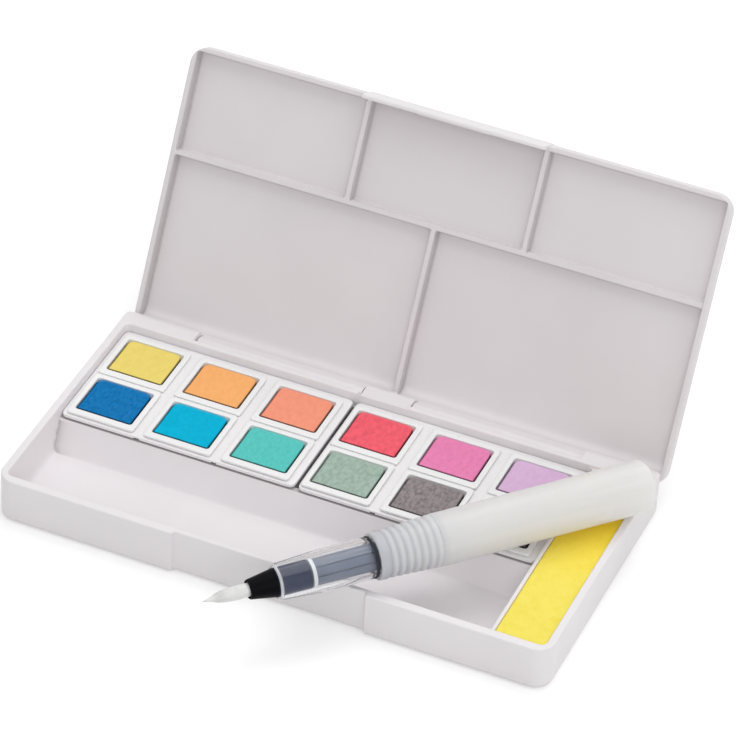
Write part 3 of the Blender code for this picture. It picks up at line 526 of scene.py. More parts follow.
def well_painted_shade(x, y, z):
    """Painted shade, full below a well's far and left walls and gone half a millimetre away, and a soft
    painted shadow under the tab.
    """
    y, z = y - AXIS_Y, z - AXIS_Z
    away = z * math.sin(OPEN_ANGLE) - y * math.cos(OPEN_ANGLE)
    rise = LID_PLANE - y * math.sin(OPEN_ANGLE) - z * math.cos(OPEN_ANGLE)
    corners = [
        np.clip(1 - np.abs(np.minimum(x - low[0], high[1] - away) - 0.2) / 0.5, 0, 1)
        * (inside_distance(x, away, low, high, WELL_CORNER) > -0.3)
        for low, high in WELLS
    ]
    below_tab = LID_FAR - away
    shade = 0.45 * np.clip(1 - below_tab / 4, 0, 1) * (below_tab > 0) * (np.abs(x) < SMALL_INNER)
    return np.maximum.reduce([*corners, shade]) * (rise > -DIVIDER_DROP - WELL_DROP - 0.05)


add_mark(palette_lid, "corner", well_painted_shade)

# %% [markdown]
# The lid's latch tab stands up from its free edge, with a low ridge that snaps over the lower shell. Both
# are blocks with all edges round. Such a block is a small ball whose eight parts are pushed out to a box's
# corners.

# %% Latch tab and catch ridge
def rounded_block(low, high, radius, steps=5):
    """A box with round edges: each direction of a ball, times the radius, on the corner it points to."""
    quarter = np.linspace(0, np.pi / 2, steps)
    turn = np.concatenate([quarter + k * np.pi / 2 for k in range(4)])
    tilt = np.concatenate([quarter - np.pi / 2, quarter])
    flat = np.cos(tilt)[:, None]
    way = as_points(flat * np.cos(turn), flat * np.sin(turn), np.sin(tilt)[:, None])
    side_x = np.repeat([1, -1, -1, 1], steps)
    side_y = np.repeat([1, 1, -1, -1], steps)
    side_z = np.repeat([-1, 1], steps)[:, None]
    side = as_points(side_x, side_y, side_z)
    low, high = np.array(low), np.array(high)
    block = (low + high) / 2 + side * ((high - low) / 2 - radius) + way * radius
    foot = np.broadcast_to((low + high) / 2 * [1, 1, 0] + [0, 0, low[2]], block[:1].shape)
    crown = np.broadcast_to((low + high) / 2 * [1, 1, 0] + [0, 0, high[2]], block[:1].shape)
    block = np.concatenate([foot, block, crown])
    return block, grid_faces(len(block), len(turn), around=True)


LATCH_BLOCKS = [
    ("latch_tab", (-23.8, 70.2, -2.6), (23.8, 71.4, 4.2), 0.4),
    ("catch_ridge", (-9.25, 69.95, 2.6), (9.25, 70.6, 3.4), 0.25),
]
for name, low, high, radius in LATCH_BLOCKS:
    points, faces = rounded_block(low, high, radius)
    add_piece(name, on_lid(*points.reshape(-1, 3).T), faces, case_white, "lid", "case")

# %% [markdown]
# Two knuckles hang from the lid's hinge side and turn in the pockets. Each is one profile, round below the
# axis and straight up to the lid, carried along the axis.

# %% Lid knuckles
def carried_along_x(outline, start, end, edge):
    """A closed outline in y and z carried along x, drawn in a little at both ends and closed there."""
    middle = outline.mean(axis=0)
    size = np.abs(outline - middle).max()
    half = [(start, 0.0), (start, 1 - edge / size), (start + edge, 1.0)]
    stations = half + [(start + end - x, share) for x, share in reversed(half)]
    shares = np.array([share for _, share in stations])[:, None, None]
    y, z = np.moveaxis(middle + (outline - middle) * shares, -1, 0)
    places = np.array([x for x, _ in stations])[:, None]
    return as_points(places, y, z), grid_faces(len(stations), len(outline), around=True)


KNUCKLE_ROUND, KNUCKLE_BACK, KNUCKLE_REACH, KNUCKLE_EDGE = 2.0, 1.41, 4.6, 0.25
KNUCKLE_INNER, KNUCKLE_OUTER = 6.6, 50.7
turn = np.radians(np.linspace(180, 315, 16))
under = KNUCKLE_ROUND * np.column_stack([np.cos(turn), np.sin(turn)])
knuckle = np.concatenate([[[-KNUCKLE_ROUND, KNUCKLE_REACH]], under, [[KNUCKLE_BACK, KNUCKLE_REACH]]])
for side, start, end in (("left", -KNUCKLE_OUTER, -KNUCKLE_INNER), ("right", KNUCKLE_INNER, KNUCKLE_OUTER)):
    points, faces = carried_along_x(knuckle, start, end, KNUCKLE_EDGE)
    x, y, z = points.reshape(-1, 3).T
    add_piece(f"lid_knuckle_{side}", on_lid(x, -y, LID_PLANE - z), faces, case_white, "lid", "case")

# %% [markdown]
# ## Trays and cups
# Each drop-in tray is a thin plate with six pockets and a low skirt, notched twice in front. A plate could
# be cut with Booleans, but its edges would stay sharp. Here every pocket gets a frame of rings, from its
# own edge out to the middle of the bars. The frames share their outer points and merge into one plate, and
# a strip round the outline adds the skirt.

# %% Frames round the pockets
def rounded(x, y, low, high, corner):
    """Moves points of a rectangle's sides onto its round outline: the core's nearest point plus a step."""
    heart_x = np.clip(x, low[0] + corner, high[0] - corner)
    heart_y = np.clip(y, low[1] + corner, high[1] - corner)
    step_x, step_y = x - heart_x, y - heart_y
    scale = np.maximum(np.abs(step_x), np.abs(step_y)) / np.maximum(np.hypot(step_x, step_y), 1e-9)
    return heart_x + step_x * scale, heart_y + step_y * scale


def side_ring(xs, ys):
    """Places along x and y turned into one loop round the rectangle that they span."""
    x = np.concatenate([xs[:-1], np.full(len(ys) - 1, xs[-1]), xs[:0:-1], np.full(len(ys) - 1, xs[0])])
    y = np.concatenate([np.full(len(xs) - 1, ys[0]), ys[:-1], np.full(len(xs) - 1, ys[-1]), ys[:0:-1]])
    return x, y


NOTCH_SIDE = np.array([0.66, 0.72])


def bar_stations(low, high):
    """Places from bar to bar, crowded at both ends by a cosine, with the notches' sides among them."""
    eased = low + (high - low) * (1 - np.cos(np.linspace(0, np.pi, 15))) / 2
    return np.unique(np.concatenate([eased, low + NOTCH_SIDE, high - NOTCH_SIDE]))


# %% Pan trays
PAN_PITCH, FIRST_PANS, PAN_Y = 20.31, (-58.51, 3.03), [20.40, 3.40]
PAN_X = [first + k * PAN_PITCH for first in FIRST_PANS for k in range(3)]
TRAYS = [("left", -68.35, -7.2, PAN_X[:3]), ("right", -6.26, 54.34, PAN_X[3:])]
POCKET_HALF, POCKET_CORNER = np.array([8.25, 7.15]), 1.2
TRAY_FRONT, TRAY_BACK, TRAY_TOP, TRAY_FOOT, TRAY_CORNER = -5.63, 30.65, 9.75, 9.0, 1.5
PLATE, SKIRT, SOFT, NOTCH = 0.6, 0.7, 0.15, 0.35
tray_white = moulded_plastic("tray_white", srgb(241, 239, 240), srgb(237, 234, 236), 0.40, 0.010)


def pan_tray(low, high, pan_x):
    """Six frames of rings, from the top round each pocket's edge to the underside, and the skirt's strip."""
    columns = np.array([low[0], (pan_x[0] + pan_x[1]) / 2, (pan_x[1] + pan_x[2]) / 2, high[0]])
    rows = np.array([low[1], sum(PAN_Y) / 2, high[1]])
    points, faces, count = [], [], 0

    def drawn(places, start, end, inset, margin=4):
        """Moves places in by the inset at both ends, evenly less up to the margin, and not beyond it."""
        steady = start + margin, end - margin
        return np.interp(places, [start, *steady, end], [start + inset, *steady, end - inset])

    def outline(x, y, inset):
        """A loop's places drawn in by the inset and then set on the tray's round outline."""
        near, far = np.array(low) + inset, np.array(high) - inset
        x, y = drawn(x, low[0], high[0], inset), drawn(y, low[1], high[1], inset)
        return rounded(x, y, near, far, TRAY_CORNER - inset)

    def add_loops(loops):
        """Adds the points of loops of x, y and z, and the quads from each loop to the next."""
        nonlocal count
        stack = np.stack([np.column_stack(np.broadcast_arrays(*loop)) for loop in loops])
        points.append(stack.reshape(-1, 3))
        faces.append(strip_faces(count + np.arange(stack.shape[0] * stack.shape[1]).reshape(stack.shape[:2])))
        count += stack.shape[0] * stack.shape[1]

    for column, x in enumerate(pan_x):
        for row, y in enumerate(PAN_Y[::-1]):
            xs, ys = bar_stations(*columns[column:column + 2]), bar_stations(*rows[row:row + 2])
            ring = side_ring(xs, ys)
            share = (ring[0] - xs[0]) / (xs[-1] - xs[0]), (ring[1] - ys[0]) / (ys[-1] - ys[0])
            centre = np.array([x, y])

            def pocket(grow):
                """The pocket's round outline, grown on all sides, with its points placed as on the ring."""
                half = POCKET_HALF + grow
                edge = centre[:, None] + half[:, None] * (2 * np.array(share) - 1)
                return rounded(*edge, centre - half, centre + half, POCKET_CORNER + grow)

            rounds = [(*pocket(inset), TRAY_TOP - drop) for inset, drop in quarter_round(SOFT, 4)]
            add_loops([
                (*outline(*ring, SOFT), TRAY_TOP), *rounds, (*pocket(0), TRAY_TOP - PLATE),
                (*outline(*ring, SKIRT), TRAY_TOP - PLATE),
            ])
    ring = side_ring(*(
        np.unique(np.concatenate([bar_stations(*pair) for pair in zip(stops, stops[1:])]))
        for stops in (columns, rows)
    ))
    near_bar = np.abs(ring[0][:, None] - columns[1:3]).min(axis=1) < NOTCH_SIDE.mean()
    foot = np.where(near_bar & (ring[1] == low[1]), TRAY_FOOT + NOTCH, TRAY_FOOT)
    rounds = [(*outline(*ring, inset), TRAY_TOP - drop) for inset, drop in quarter_round(SOFT, 4)]
    add_loops([
        *rounds, (*outline(*ring, 0), foot), (*outline(*ring, SKIRT), np.minimum(foot, TRAY_TOP - PLATE)),
        (*outline(*ring, SKIRT), TRAY_TOP - PLATE),
    ])
    return np.concatenate(points), np.concatenate(faces)


for side, left, right, pan_x in TRAYS:
    points, faces = pan_tray((left, TRAY_FRONT), (right, TRAY_BACK), pan_x)
    add_piece(f"tray_{side}", points, faces, tray_white, "case", "case", [f"pan_tray_{side}"])

# %% [markdown]
# A cup is a stack of rounded rectangles, from the foot up the outside, over the flange and down the inside.
# The flange's edges are rounded, because those are the bright lines that the eye reads as thin white
# plastic.

# %% Half pans
def stacked_rings(rings, steps=6):
    """Rounded rectangles, joined and closed: half length, half width, corner, height and shift in y."""
    half_x, half_y, corner, z, shift = np.array(rings).T[:, :, None]
    turn = np.concatenate([np.linspace(0, np.pi / 2, steps) + k * np.pi / 2 for k in range(4)])
    sign_x, sign_y = np.repeat([1, -1, -1, 1], steps), np.repeat([1, 1, -1, -1], steps)
    x = sign_x * (half_x - corner) + corner * np.cos(turn)
    y = sign_y * (half_y - corner) + corner * np.sin(turn) + shift
    stack = as_points(x, y, z)
    ends = np.zeros((2, 1, stack.shape[1], 3))
    ends[:, 0, :, 2] = [[rings[0][3]], [rings[-1][3]]]
    stack = np.concatenate([ends[0], stack, ends[1]])
    return stack, grid_faces(len(stack), stack.shape[1], around=True)


PAN_RIM, PAN_HEIGHT, FLANGE = 10.5, 8.5, 0.6
FLANGE_X, FLANGE_Y, FLANGE_CORNER, FLANGE_ROUND = 8.8, 8.3, 0.8, 0.22
MOUTH_X, MOUTH_Y, MOUTH_CORNER, MOUTH_ROUND, MOUTH_SHIFT = 7.5, 6.6, 0.7, 0.18, 0.22
outer_edge = [
    (FLANGE_X - inset, FLANGE_Y - inset, FLANGE_CORNER, -drop, 0)
    for inset, drop in reversed(quarter_round(FLANGE_ROUND))
]
inner_edge = [
    (MOUTH_X + inset, MOUTH_Y + inset, MOUTH_CORNER + inset, -drop, MOUTH_SHIFT)
    for inset, drop in quarter_round(MOUTH_ROUND)
]
cup = [
    (7.1, 6.0, 1.0, -PAN_HEIGHT, 0), (7.35, 6.25, 1.2, 0.25 - PAN_HEIGHT, 0), (8.0, 6.9, 1.2, -FLANGE, 0),
    (8.65, 8.15, FLANGE_CORNER, -FLANGE, 0), (FLANGE_X, FLANGE_Y, FLANGE_CORNER, -0.5, 0),
    *outer_edge, *inner_edge, (6.87, 5.77, 0.7, -7.4, 0), (6.6, 5.5, 0.6, -7.7, 0),
]
cup_points, cup_faces = stacked_rings(cup)
pans = [(number, x, y) for number, (y, x) in enumerate(((y, x) for y in PAN_Y for x in PAN_X), 1)]


def pan_body(number):
    """The body that a pan rides on: the last pan lies under the brush and stays with the case."""
    return "case" if number == len(pans) else f"pan_{number:02d}"


for number, x, y in pans:
    points = cup_points + np.array([x, y, PAN_RIM])
    stands_for = [f"half_pan_{number:02d}"]
    add_piece(f"cup_{number:02d}", points, cup_faces, cup_white, pan_body(number), "pan", stands_for)

# %% [markdown]
# ## Paint cakes
# Paint is poured in wet and shrinks as it dries. It leaves a slit along the front and the sides of the cup,
# and at the back a thin film climbs the wall. The slit's shade is painted dark on the cake's edge, with a
# thin line along its back; it and the film are stored as numbers on the cake's points, so that the finish can
# darken the colour there and pale it for the film. Clouds and streaks of pigment do the rest.

# %% Dried paint
def dried_paint(name, colour, seed, mottle):
    """A pigment's finish: streaks of a deeper and a paler shade, a pale film at the back and the slit's
    painted shade.
    """
    material, tree, shader, place = start_finish(name)
    streaks = stretched(tree, place, (1.0, 0.6, 1.0))
    deep = scaled(colour, 1 - mottle)
    pale = tuple(min(1.0, c * (1 + 0.15 * mottle) + 0.03 * mottle) for c in colour)
    body = between(tree, noise(tree, streaks, 760.0 + 45 * seed, 8.0), deep, pale, 0.3, 0.62)
    body = mixed(tree, mark(tree, "film"), body, tuple(0.9 * c + 0.04 for c in colour))
    # Painted shade of the slit, dark on the cake's edge.
    body = mixed(tree, mark(tree, "slit_shade"), body, scaled(colour, 0.12))
    dry = between(tree, noise(tree, place, 420.0), 0.6, 0.8)
    fill(tree, shader, {"Base Color": body, "Roughness": dry, "Specular IOR Level": 0.06})
    add_bump(tree, shader, noise(tree, streaks, 700.0 + 20 * seed, 3.0), 0.025, 0.4)
    return material


def soft_block(low, high, corner, edge, spacing, relief):
    """A block with a rounded rectangle as its plan: its top falls away at the edge and carries a relief."""
    lines, cores = [], []
    for start, end in zip(low[:2], high[:2]):
        lines.append(crowded_lines(start, end, spacing, [(start + 0.6, 1), (end - 0.6, -1)]))
        core = [start + corner, start + corner + 0.2, end - corner - 0.2, end - corner]
        cores.append((core, core))

    def top(x, y):
        """A quarter circle from the edge up to the top, plus the relief."""
        inside = np.clip(inside_distance(x, y, low[:2], high[:2], corner), 0, edge)
        return high[2] - edge + np.sqrt(edge ** 2 - (edge - inside) ** 2) + relief(x, y)

    foot = [(0.0, low[2] + 0.3), (0.3, low[2])]
    return moulded_shell(*lines, corner, *cores, corner, top, [1.0], [(0.0, 0.0)], foot)


# %% Twelve cakes
PAINTS = [
    ("yellow", (240, 218, 118), 0.05), ("orange", (252, 181, 114), 0.05), ("salmon", (249, 157, 128), 0.06),
    ("red", (249, 101, 116), 0.15), ("pink", (238, 137, 185), 0.1), ("lilac", (224, 187, 223), 0.06),
    ("blue", (10, 119, 184), 0.22), ("cyan", (0, 180, 217), 0.08), ("teal", (93, 202, 194), 0.1),
    ("sage", (166, 188, 174), 0.2), ("grey", (150, 141, 142), 0.4), ("charcoal", (96, 98, 98), 0.3),
]
CAKE_HALF, CAKE_FRONT, CAKE_BACK, CAKE_FOOT, CAKE_TOP, CAKE_CORNER = 7.32, 6.24, 6.7, 7.3, 0.14, 2.1


def drawn_in(back, corner=CAKE_CORNER):
    """How much narrower the cake is at a distance from its back: its corners follow a quarter circle."""
    short = np.clip(corner - back, 0, corner)
    return 1 - (corner - np.sqrt(corner ** 2 - short ** 2)) / CAKE_HALF


for (number, x, y), (colour, level, mottle) in zip(pans, PAINTS):
    wave = np.random.default_rng(number).uniform(0, 2 * np.pi, 3)
    low = np.array([x - CAKE_HALF, y - CAKE_FRONT, PAN_RIM - CAKE_FOOT])
    high = np.array([x + CAKE_HALF, y + CAKE_BACK, PAN_RIM - CAKE_TOP])

    def poured(px, py, high=high, wave=wave):
        """Sinks a little in the middle, climbs the last half millimetre to the back, and ripples a little."""
        back = high[1] - py
        ripple = np.sin(0.9 * px + wave[0]) * np.sin(0.7 * py + wave[1])
        ripple = ripple + 0.6 * np.sin(1.7 * px - 1.3 * py + wave[2])
        sunk = 0.16 * np.sin(np.pi * np.clip(back / 12.9, 0, 1))
        return 0.06 * np.exp(-(back / 0.6) ** 2) - sunk + 0.02 * ripple

    def slit_shade(px, py, pz, low=low, high=high):
        """Painted shade of the slit: full at the left, right and front edges, gone 0.55 mm further in, and
        thin along the back.
        """
        half = CAKE_HALF * drawn_in(high[1] - py)
        edge = np.minimum(half - np.abs(px - (low[0] + high[0]) / 2), py - low[1])
        sides = np.clip((0.55 - edge) / 0.3, 0, 1) * np.clip((high[1] - 0.8 - py) / 0.8, 0, 1)
        return np.maximum(sides, 0.4 * np.clip((0.3 - (high[1] - py)) / 0.2, 0, 1))

    def film(px, py, pz, low=low, high=high):
        """The strip behind a rounded line that runs 0.6 mm in front of the cake's back."""
        deep = inside_distance(px, py, (low[0] - 0.1, low[1] - 9), (high[0] + 0.1, high[1] - 0.6), 2.6)
        return np.clip(0.5 - deep / 0.3, 0, 1)

    points, faces = soft_block(low, high, corner=0.9, edge=0.28, spacing=0.6, relief=poured)
    depth = np.clip(high[2] - 0.6 - points[:, 2], 0, None)
    points[:, 0] = x + (points[:, 0] - x) * drawn_in(high[1] - points[:, 1]) * (1 - 0.0105 * depth)
    points[:, 1] = y + (points[:, 1] - y) * (1 - 0.02 * depth)
    paint = f"paint_{colour}"
    finish = dried_paint(paint, srgb(*level), number, mottle)
    stands_for = [f"paint_{number:02d}"]
    cake = add_piece(f"cake_{colour}", points, faces, finish, pan_body(number), paint, stands_for)
    add_mark(cake, "slit_shade", slit_shade)
    add_mark(cake, "film", film)

# %% [markdown]
# ## The sponge
# The sponge is a strip of open foam pressed into its bay. Its large pores are real dents in the top, at
# seeded random places, and its fine cells are left to the finish.

# %% Sponge
def foam(name, light, shade, brush_shade_gold):
    """Yellow foam: fine cells sink as a bump, and the end that lies under the brush is painted a deeper gold,
    as the brush's shade.
    """
    material, tree, shader, place = start_finish(name)
    cells = add_node(tree, "TexVoronoi", {"Vector": place, "Scale": 2200.0}).outputs["Distance"]
    along = add_node(tree, "SeparateXYZ", {0: place}).outputs["Y"]
    colour = between(tree, noise(tree, place, 500.0, 6.0), shade, light, 0.3, 0.6)
    colour = mixed(tree, between(tree, along, 0.0, 0.8, -0.012, 0.012), colour, brush_shade_gold)
    fill(tree, shader, {"Base Color": colour, "Roughness": 0.95, "Specular IOR Level": 0.1})
    add_bump(tree, shader, cells, 0.09, 0.6)
    return material


SPONGE_LOW, SPONGE_HIGH = (55.62, -34.0, 1.8), (68.02, 30.85, 11.05)
PORES, PORE_X, PORE_Y = 600, (56, 67.6), (-33.5, 30.4)
rng = np.random.default_rng(5)
pores = np.column_stack([rng.uniform(*PORE_X, PORES), rng.uniform(*PORE_Y, PORES)])
pore_size = rng.uniform(0.1, 0.34, PORES)


def pored(x, y):
    """Each pore is a bell-shaped dent; a slow wave keeps the top from lying dead flat."""
    gap = np.hypot(x[..., None] - pores[:, 0], y[..., None] - pores[:, 1])
    dents = (0.5 * pore_size * np.exp(-(gap / pore_size) ** 2)).max(axis=-1)
    return 0.08 * np.sin(x / 1.9) * np.sin(y / 4.3) - dents


points, faces = soft_block(SPONGE_LOW, SPONGE_HIGH, corner=1.4, edge=0.45, spacing=0.3, relief=pored)
# The third colour is the brush's shade, painted as a deeper gold on the sponge's end under it.
sponge_yellow = foam("sponge_foam", srgb(249, 233, 108), srgb(246, 227, 94), srgb(255, 220, 52))
sponge = add_piece("sponge_strip", points, faces, sponge_yellow, "case", "sponge", ["sponge"])

# %% [markdown]
# ## The water brush
# Apart from its hairs, every part of the brush is turned: a profile of radius and place along the axis,
# carried round it. Moulded corners are never dead sharp, so each corner of a profile is first cut back a
# little and bent into a curve.

# %% Turned parts of the brush
TIP = np.array([-6.3, -60.5, 16.5172])
ALONG = np.array([0.6806224, 0.7324369, 0.0170072])
ACROSS = np.cross(ALONG, [0, 0, 1]) / np.linalg.norm(np.cross(ALONG, [0, 0, 1]))
UPWARD = np.cross(ACROSS, ALONG)


def bent_corners(profile, cut, steps=5):
    """Replaces each corner by a curve through points on both sides of it, weighted as a parabola."""
    profile = np.asarray(profile, float)
    before, after = np.roll(profile, 1, axis=0) - profile, np.roll(profile, -1, axis=0) - profile
    length = [np.maximum(np.linalg.norm(v, axis=1, keepdims=True), 1e-9) for v in (before, after)]
    start = profile + before * np.minimum(cut / length[0], 0.45)
    end = profile + after * np.minimum(cut / length[1], 0.45)
    t = np.linspace(0, 1, steps)[:, None]
    curve = start[:, None] * (1 - t) ** 2 + 2 * profile[:, None] * t * (1 - t) + end[:, None] * t ** 2
    return curve.reshape(-1, 2)


def turned(profile, steps=96, closed=True):
    """Radius and place, carried round the brush's axis: tip + place along + radius times turning arm."""
    radius, place = np.asarray(profile, float).T[:, :, None]
    turn = np.linspace(0, 2 * np.pi, steps, endpoint=False)[None, :, None]
    arm = np.cos(turn) * ACROSS + np.sin(turn) * UPWARD
    points = TIP + place[..., None] * ALONG + radius[..., None] * arm
    if closed:
        points = np.concatenate([points, points[:1]])
    return points, grid_faces(len(points), steps, around=True)


def turned_piece(name, profile, cut, finish, body, slot, node):
    """A piece that is turned from a profile with its corners bent."""
    return add_piece(name, *turned(bent_corners(profile, cut)), finish, body, slot, [node])


# %% [markdown]
# The nose is black, the neck is clear, a grey fluted tube feeds water through it, and a dark ring seals the
# joint. The barrel is soft, milky plastic, so it lets some light in and blurs it.

# %% Brush finishes
def let_light_on(tree, shader, tint, share):
    """Mixes in a share of a shader that lets light glow through to the far side."""
    glow = add_node(tree, "BsdfTranslucent", {"Color": tint})
    blend = add_node(tree, "MixShader", {0: share, 1: shader.outputs["BSDF"], 2: glow.outputs["BSDF"]})
    fill(tree, tree.nodes["Material Output"], {"Surface": blend.outputs["Shader"]})


def glossy(name, colour, roughness, specular, marked=(0.86, 0.87, 0.88)):
    """Smooth coloured plastic with a slow change of gloss from handling, painted shade in the bottoms of
    marked flutes, and another colour where marked.
    """
    material, tree, shader, place = start_finish(name)
    smear = noise(tree, place, 240.0)
    tint = between(tree, smear, colour, scaled(colour, 1.2))
    # Painted shade: the bottoms of marked flutes are darkened to a quarter of the colour.
    tint = mixed(tree, mark(tree, "flute"), tint, scaled(colour, 0.25))
    fill(tree, shader, {
        "Base Color": mixed(tree, mark(tree, "pale"), tint, marked),
        "Roughness": between(tree, smear, roughness, roughness + 0.1),
        "Specular IOR Level": specular,
    })
    return material


def along_grain(tree, place, stretch):
    """The coordinates turned and drawn out along the brush, so that noise becomes lengthwise bands."""
    turn = 0.0, 0.0, math.atan2(ALONG[1], ALONG[0])
    mapping = add_node(tree, "Mapping", {"Vector": place, "Rotation": turn, "Scale": (stretch, 1.0, 1.0)})
    mapping.vector_type = "TEXTURE"
    return mapping.outputs["Vector"]


def see_through(name, colour, roughness, index, glow_share):
    """Plastic that lets light through by the share stored on its points; the rest scatters inside or glows.

    Where a core is marked, the plastic takes a little of the grey of what lies inside it.
    """
    material, tree, shader, place = start_finish(name)
    bands = noise(tree, along_grain(tree, place, 30.0), 330.0, 2.0)
    tint = between(tree, bands, scaled(colour, 0.94), colour, 0.35, 0.65)
    tint = mixed(tree, mark(tree, "core"), tint, srgb(202, 207, 219))
    clear = mark(tree, "clear")
    fill(tree, shader, {
        "Base Color": tint,
        "Transmission Weight": clear,
        "Roughness": between(tree, clear, roughness, min(roughness, 0.05), 0.25, 0.8),
        "IOR": index,
        "Subsurface Weight": 1.0,
        "Subsurface Radius": (1.0, 0.95, 0.85),
        "Subsurface Scale": 2.5 * MM,
    })
    if glow_share:
        let_light_on(tree, shader, tint, between(tree, clear, glow_share, 0.0, 0.2, 0.6))
    return material


def nylon(name, colour):
    """Thin white hair that shines back most of the light and lets some of it through."""
    material, tree, shader, place = start_finish(name)
    tint = between(tree, noise(tree, place, 900.0), scaled(colour, 0.96), colour)
    fill(tree, shader, {"Base Color": tint, "Roughness": 0.3})
    let_light_on(tree, shader, tint, 0.2)
    return material


def along_brush(x, y, z):
    """How far along the brush, from its tip, each point lies."""
    return (np.column_stack([x, y, z]) - TIP) @ ALONG


nose_black = glossy("nose_black", (0.002, 0.002, 0.003), 0.35, 0.05, srgb(45, 53, 81))
feed_grey = glossy("feed_grey", srgb(112, 119, 136), 0.35, 0.3)
ring_dark = glossy("ring_dark", srgb(34, 34, 40), 0.5, 0.3)
neck_clear = see_through("neck_clear", (0.97, 0.98, 0.99), 0.03, 1.33, 0.0)
barrel_milky = see_through("barrel_milky", srgb(253, 252, 251), 0.22, 1.2, 0.35)
hair_white = nylon("hair_white", (0.98, 0.98, 0.97))
print("brush finishes:", nose_black.name, feed_grey.name, neck_clear.name, barrel_milky.name, hair_white.name)

# %% [markdown]
# Four turned parts make the front of the brush. Each profile is a short list of radius and place along the
# axis, and numbers stored on the points say where a colour changes or the plastic turns clear.

# %% Nose, neck, feed and seal
nose = [
    (3.45, 26.7), (3.45, 18.9), (3.45, 18.3), (3.35, 18.1), (2.35, 12.1), (2.15, 11.9), (2.036, 11.9),
    (2.036, 26.7),
]
nose_cone = turned_piece("brush_nose_cone", nose, 0.15, nose_black, "brush_head", "nose", "brush_nose")
add_mark(nose_cone, "pale", lambda x, y, z: np.interp(along_brush(x, y, z), [18.35, 18.6], [0.0, 1.0]))

neck = [
    (4.4, 47.8), (4.4, 41.8), (5.0, 41.8), (5.0, 30.2), (4.34, 19.6), (4.3, 18.9), (4.0, 18.6), (3.75, 18.6),
    (3.75, 19.6), (3.75, 47.8),
]
clear_neck = turned_piece("brush_clear_neck", neck, 0.25, neck_clear, "brush_head", "neck", "brush_neck")
add_mark(clear_neck, "clear", lambda x, y, z: np.interp(along_brush(x, y, z), [19.0, 19.4], [0.25, 1.0]))

FLUTES, FLUTE_DEPTH = 9, 0.05


def flute(x, y, z):
    """1 in the bottom of each narrow groove that runs along the feed and 0 between them."""
    out = np.column_stack([x, y, z]) - TIP
    turn = np.arctan2(out @ UPWARD, out @ ACROSS)
    return np.clip(1 - np.abs((turn * FLUTES / (2 * np.pi)) % 1 - 0.5) / 0.06, 0, 1) * (out @ ALONG > 28.1)


feed = [(3.2, 60.0), (3.2, 28.2), (3.2, 27.9), (3.45, 27.9), (3.45, 27.0), (1.6, 27.0), (1.6, 60.0)]
points, faces = turned(bent_corners(feed, 0.12), 20 * FLUTES)
centre = TIP + ((points - TIP) @ ALONG)[..., None] * ALONG
groove = flute(*points.reshape(-1, 3).T).reshape(points.shape[:2])[..., None]
points = points - (points - centre) * FLUTE_DEPTH * groove
feed_tube = add_piece("brush_feed_tube", points, faces, feed_grey, "brush_head", "feed", ["brush_feed"])
add_mark(feed_tube, "pale", lambda x, y, z: np.interp(along_brush(x, y, z), [27.9, 27.95], [1.0, 0.0]))
# The flutes' bottoms are painted dark on the feed, as their shade.
add_mark(feed_tube, "flute", flute)

seal = [(4.7, 42.8), (4.95, 42.8), (5.1, 42.45), (4.95, 42.1), (4.7, 42.1)]
turned_piece("brush_seal_ring", seal, 0.12, ring_dark, "brush_ring", "seal", "brush_seal")

# %% [markdown]
# The barrel starts with seven grip ribs that grow towards its body, and ends in a soft round. Its ribs are
# a cosine wave on the radius, which is rounder than steps would be. The bore makes it a hollow tube with a
# real wall, so that light passes through two thin skins.

# %% Barrel
RIBS, RIB_START, RIB_PITCH, GRIP_END = 7, 45.7, 1.85, 58.6
GRIP_RADIUS, GRIP_FLARE, RIB_DEPTH = 5.7, 0.6, 0.35
BARREL_RADIUS, BARREL_END, END_ROUND = 6.3, 113.6, 1.8


def rib_wave(place):
    """A cosine wave along the brush, 0 in the grooves of the grip and 1 on the crests of its ribs."""
    return 0.5 - 0.5 * np.cos(2 * np.pi * (place - RIB_START) / RIB_PITCH)


def rib_crest(place):
    """1 on the crest of each rib and 0 in the grooves and on the smooth parts."""
    return np.where((place > RIB_START) & (place < GRIP_END), rib_wave(place), 0.0)


rib_place = np.linspace(RIB_START, RIB_START + RIBS * RIB_PITCH, RIBS * 12 + 1)
rib_share = (rib_place - RIB_START) / (RIBS * RIB_PITCH)
rib_radius = GRIP_RADIUS + GRIP_FLARE * rib_share - RIB_DEPTH * (1 - rib_wave(rib_place) ** 0.5)
ribs = np.column_stack([rib_radius, rib_place])
ribs[-1, 0] = BARREL_RADIUS
turn = np.linspace(0, np.pi / 2, 10)
end_round = np.column_stack([
    BARREL_RADIUS - END_ROUND * (1 - np.cos(turn)), BARREL_END - END_ROUND * (1 - np.sin(turn)),
])
mouth = [(4.7, 43.25), (4.85, 43.1), (5.5, 43.1), (5.65, 43.2), (GRIP_RADIUS, 43.4), (GRIP_RADIUS, 45.2)]
bore = [(0.0, 112.6), (4.2, 112.4), (4.95, 110.8), (4.95, 66.0), (4.7, 51.0)]
body = [(BARREL_RADIUS, place) for place in (60.5, 63.0, 66.0, 76.0, 84.0, 92.0, 106.0)]
points, faces = turned(np.concatenate([mouth, ribs, body, end_round, [(0.0, BARREL_END)], bore]))
soft_barrel = add_piece(
    "brush_soft_barrel", points, faces, barrel_milky, "brush_body", "barrel", ["brush_barrel"], sharp=50,
)


def barrel_clear(x, y, z):
    """Less on the crests of the grip than in its grooves, and rising to the body's even share."""
    place = along_brush(x, y, z)
    return np.interp(place, [46, GRIP_END, 64], [0.1, 0.16, 0.2]) - 0.08 * rib_crest(place)


def barrel_core(x, y, z):
    """How far the grey feed inside shows: most at the collar, less in the grooves, and not past its end."""
    place = along_brush(x, y, z)
    return np.interp(place, [43, 47, 58, 60.5], [0.5, 0.45, 0.35, 0.0]) * (1 - 0.8 * rib_crest(place))


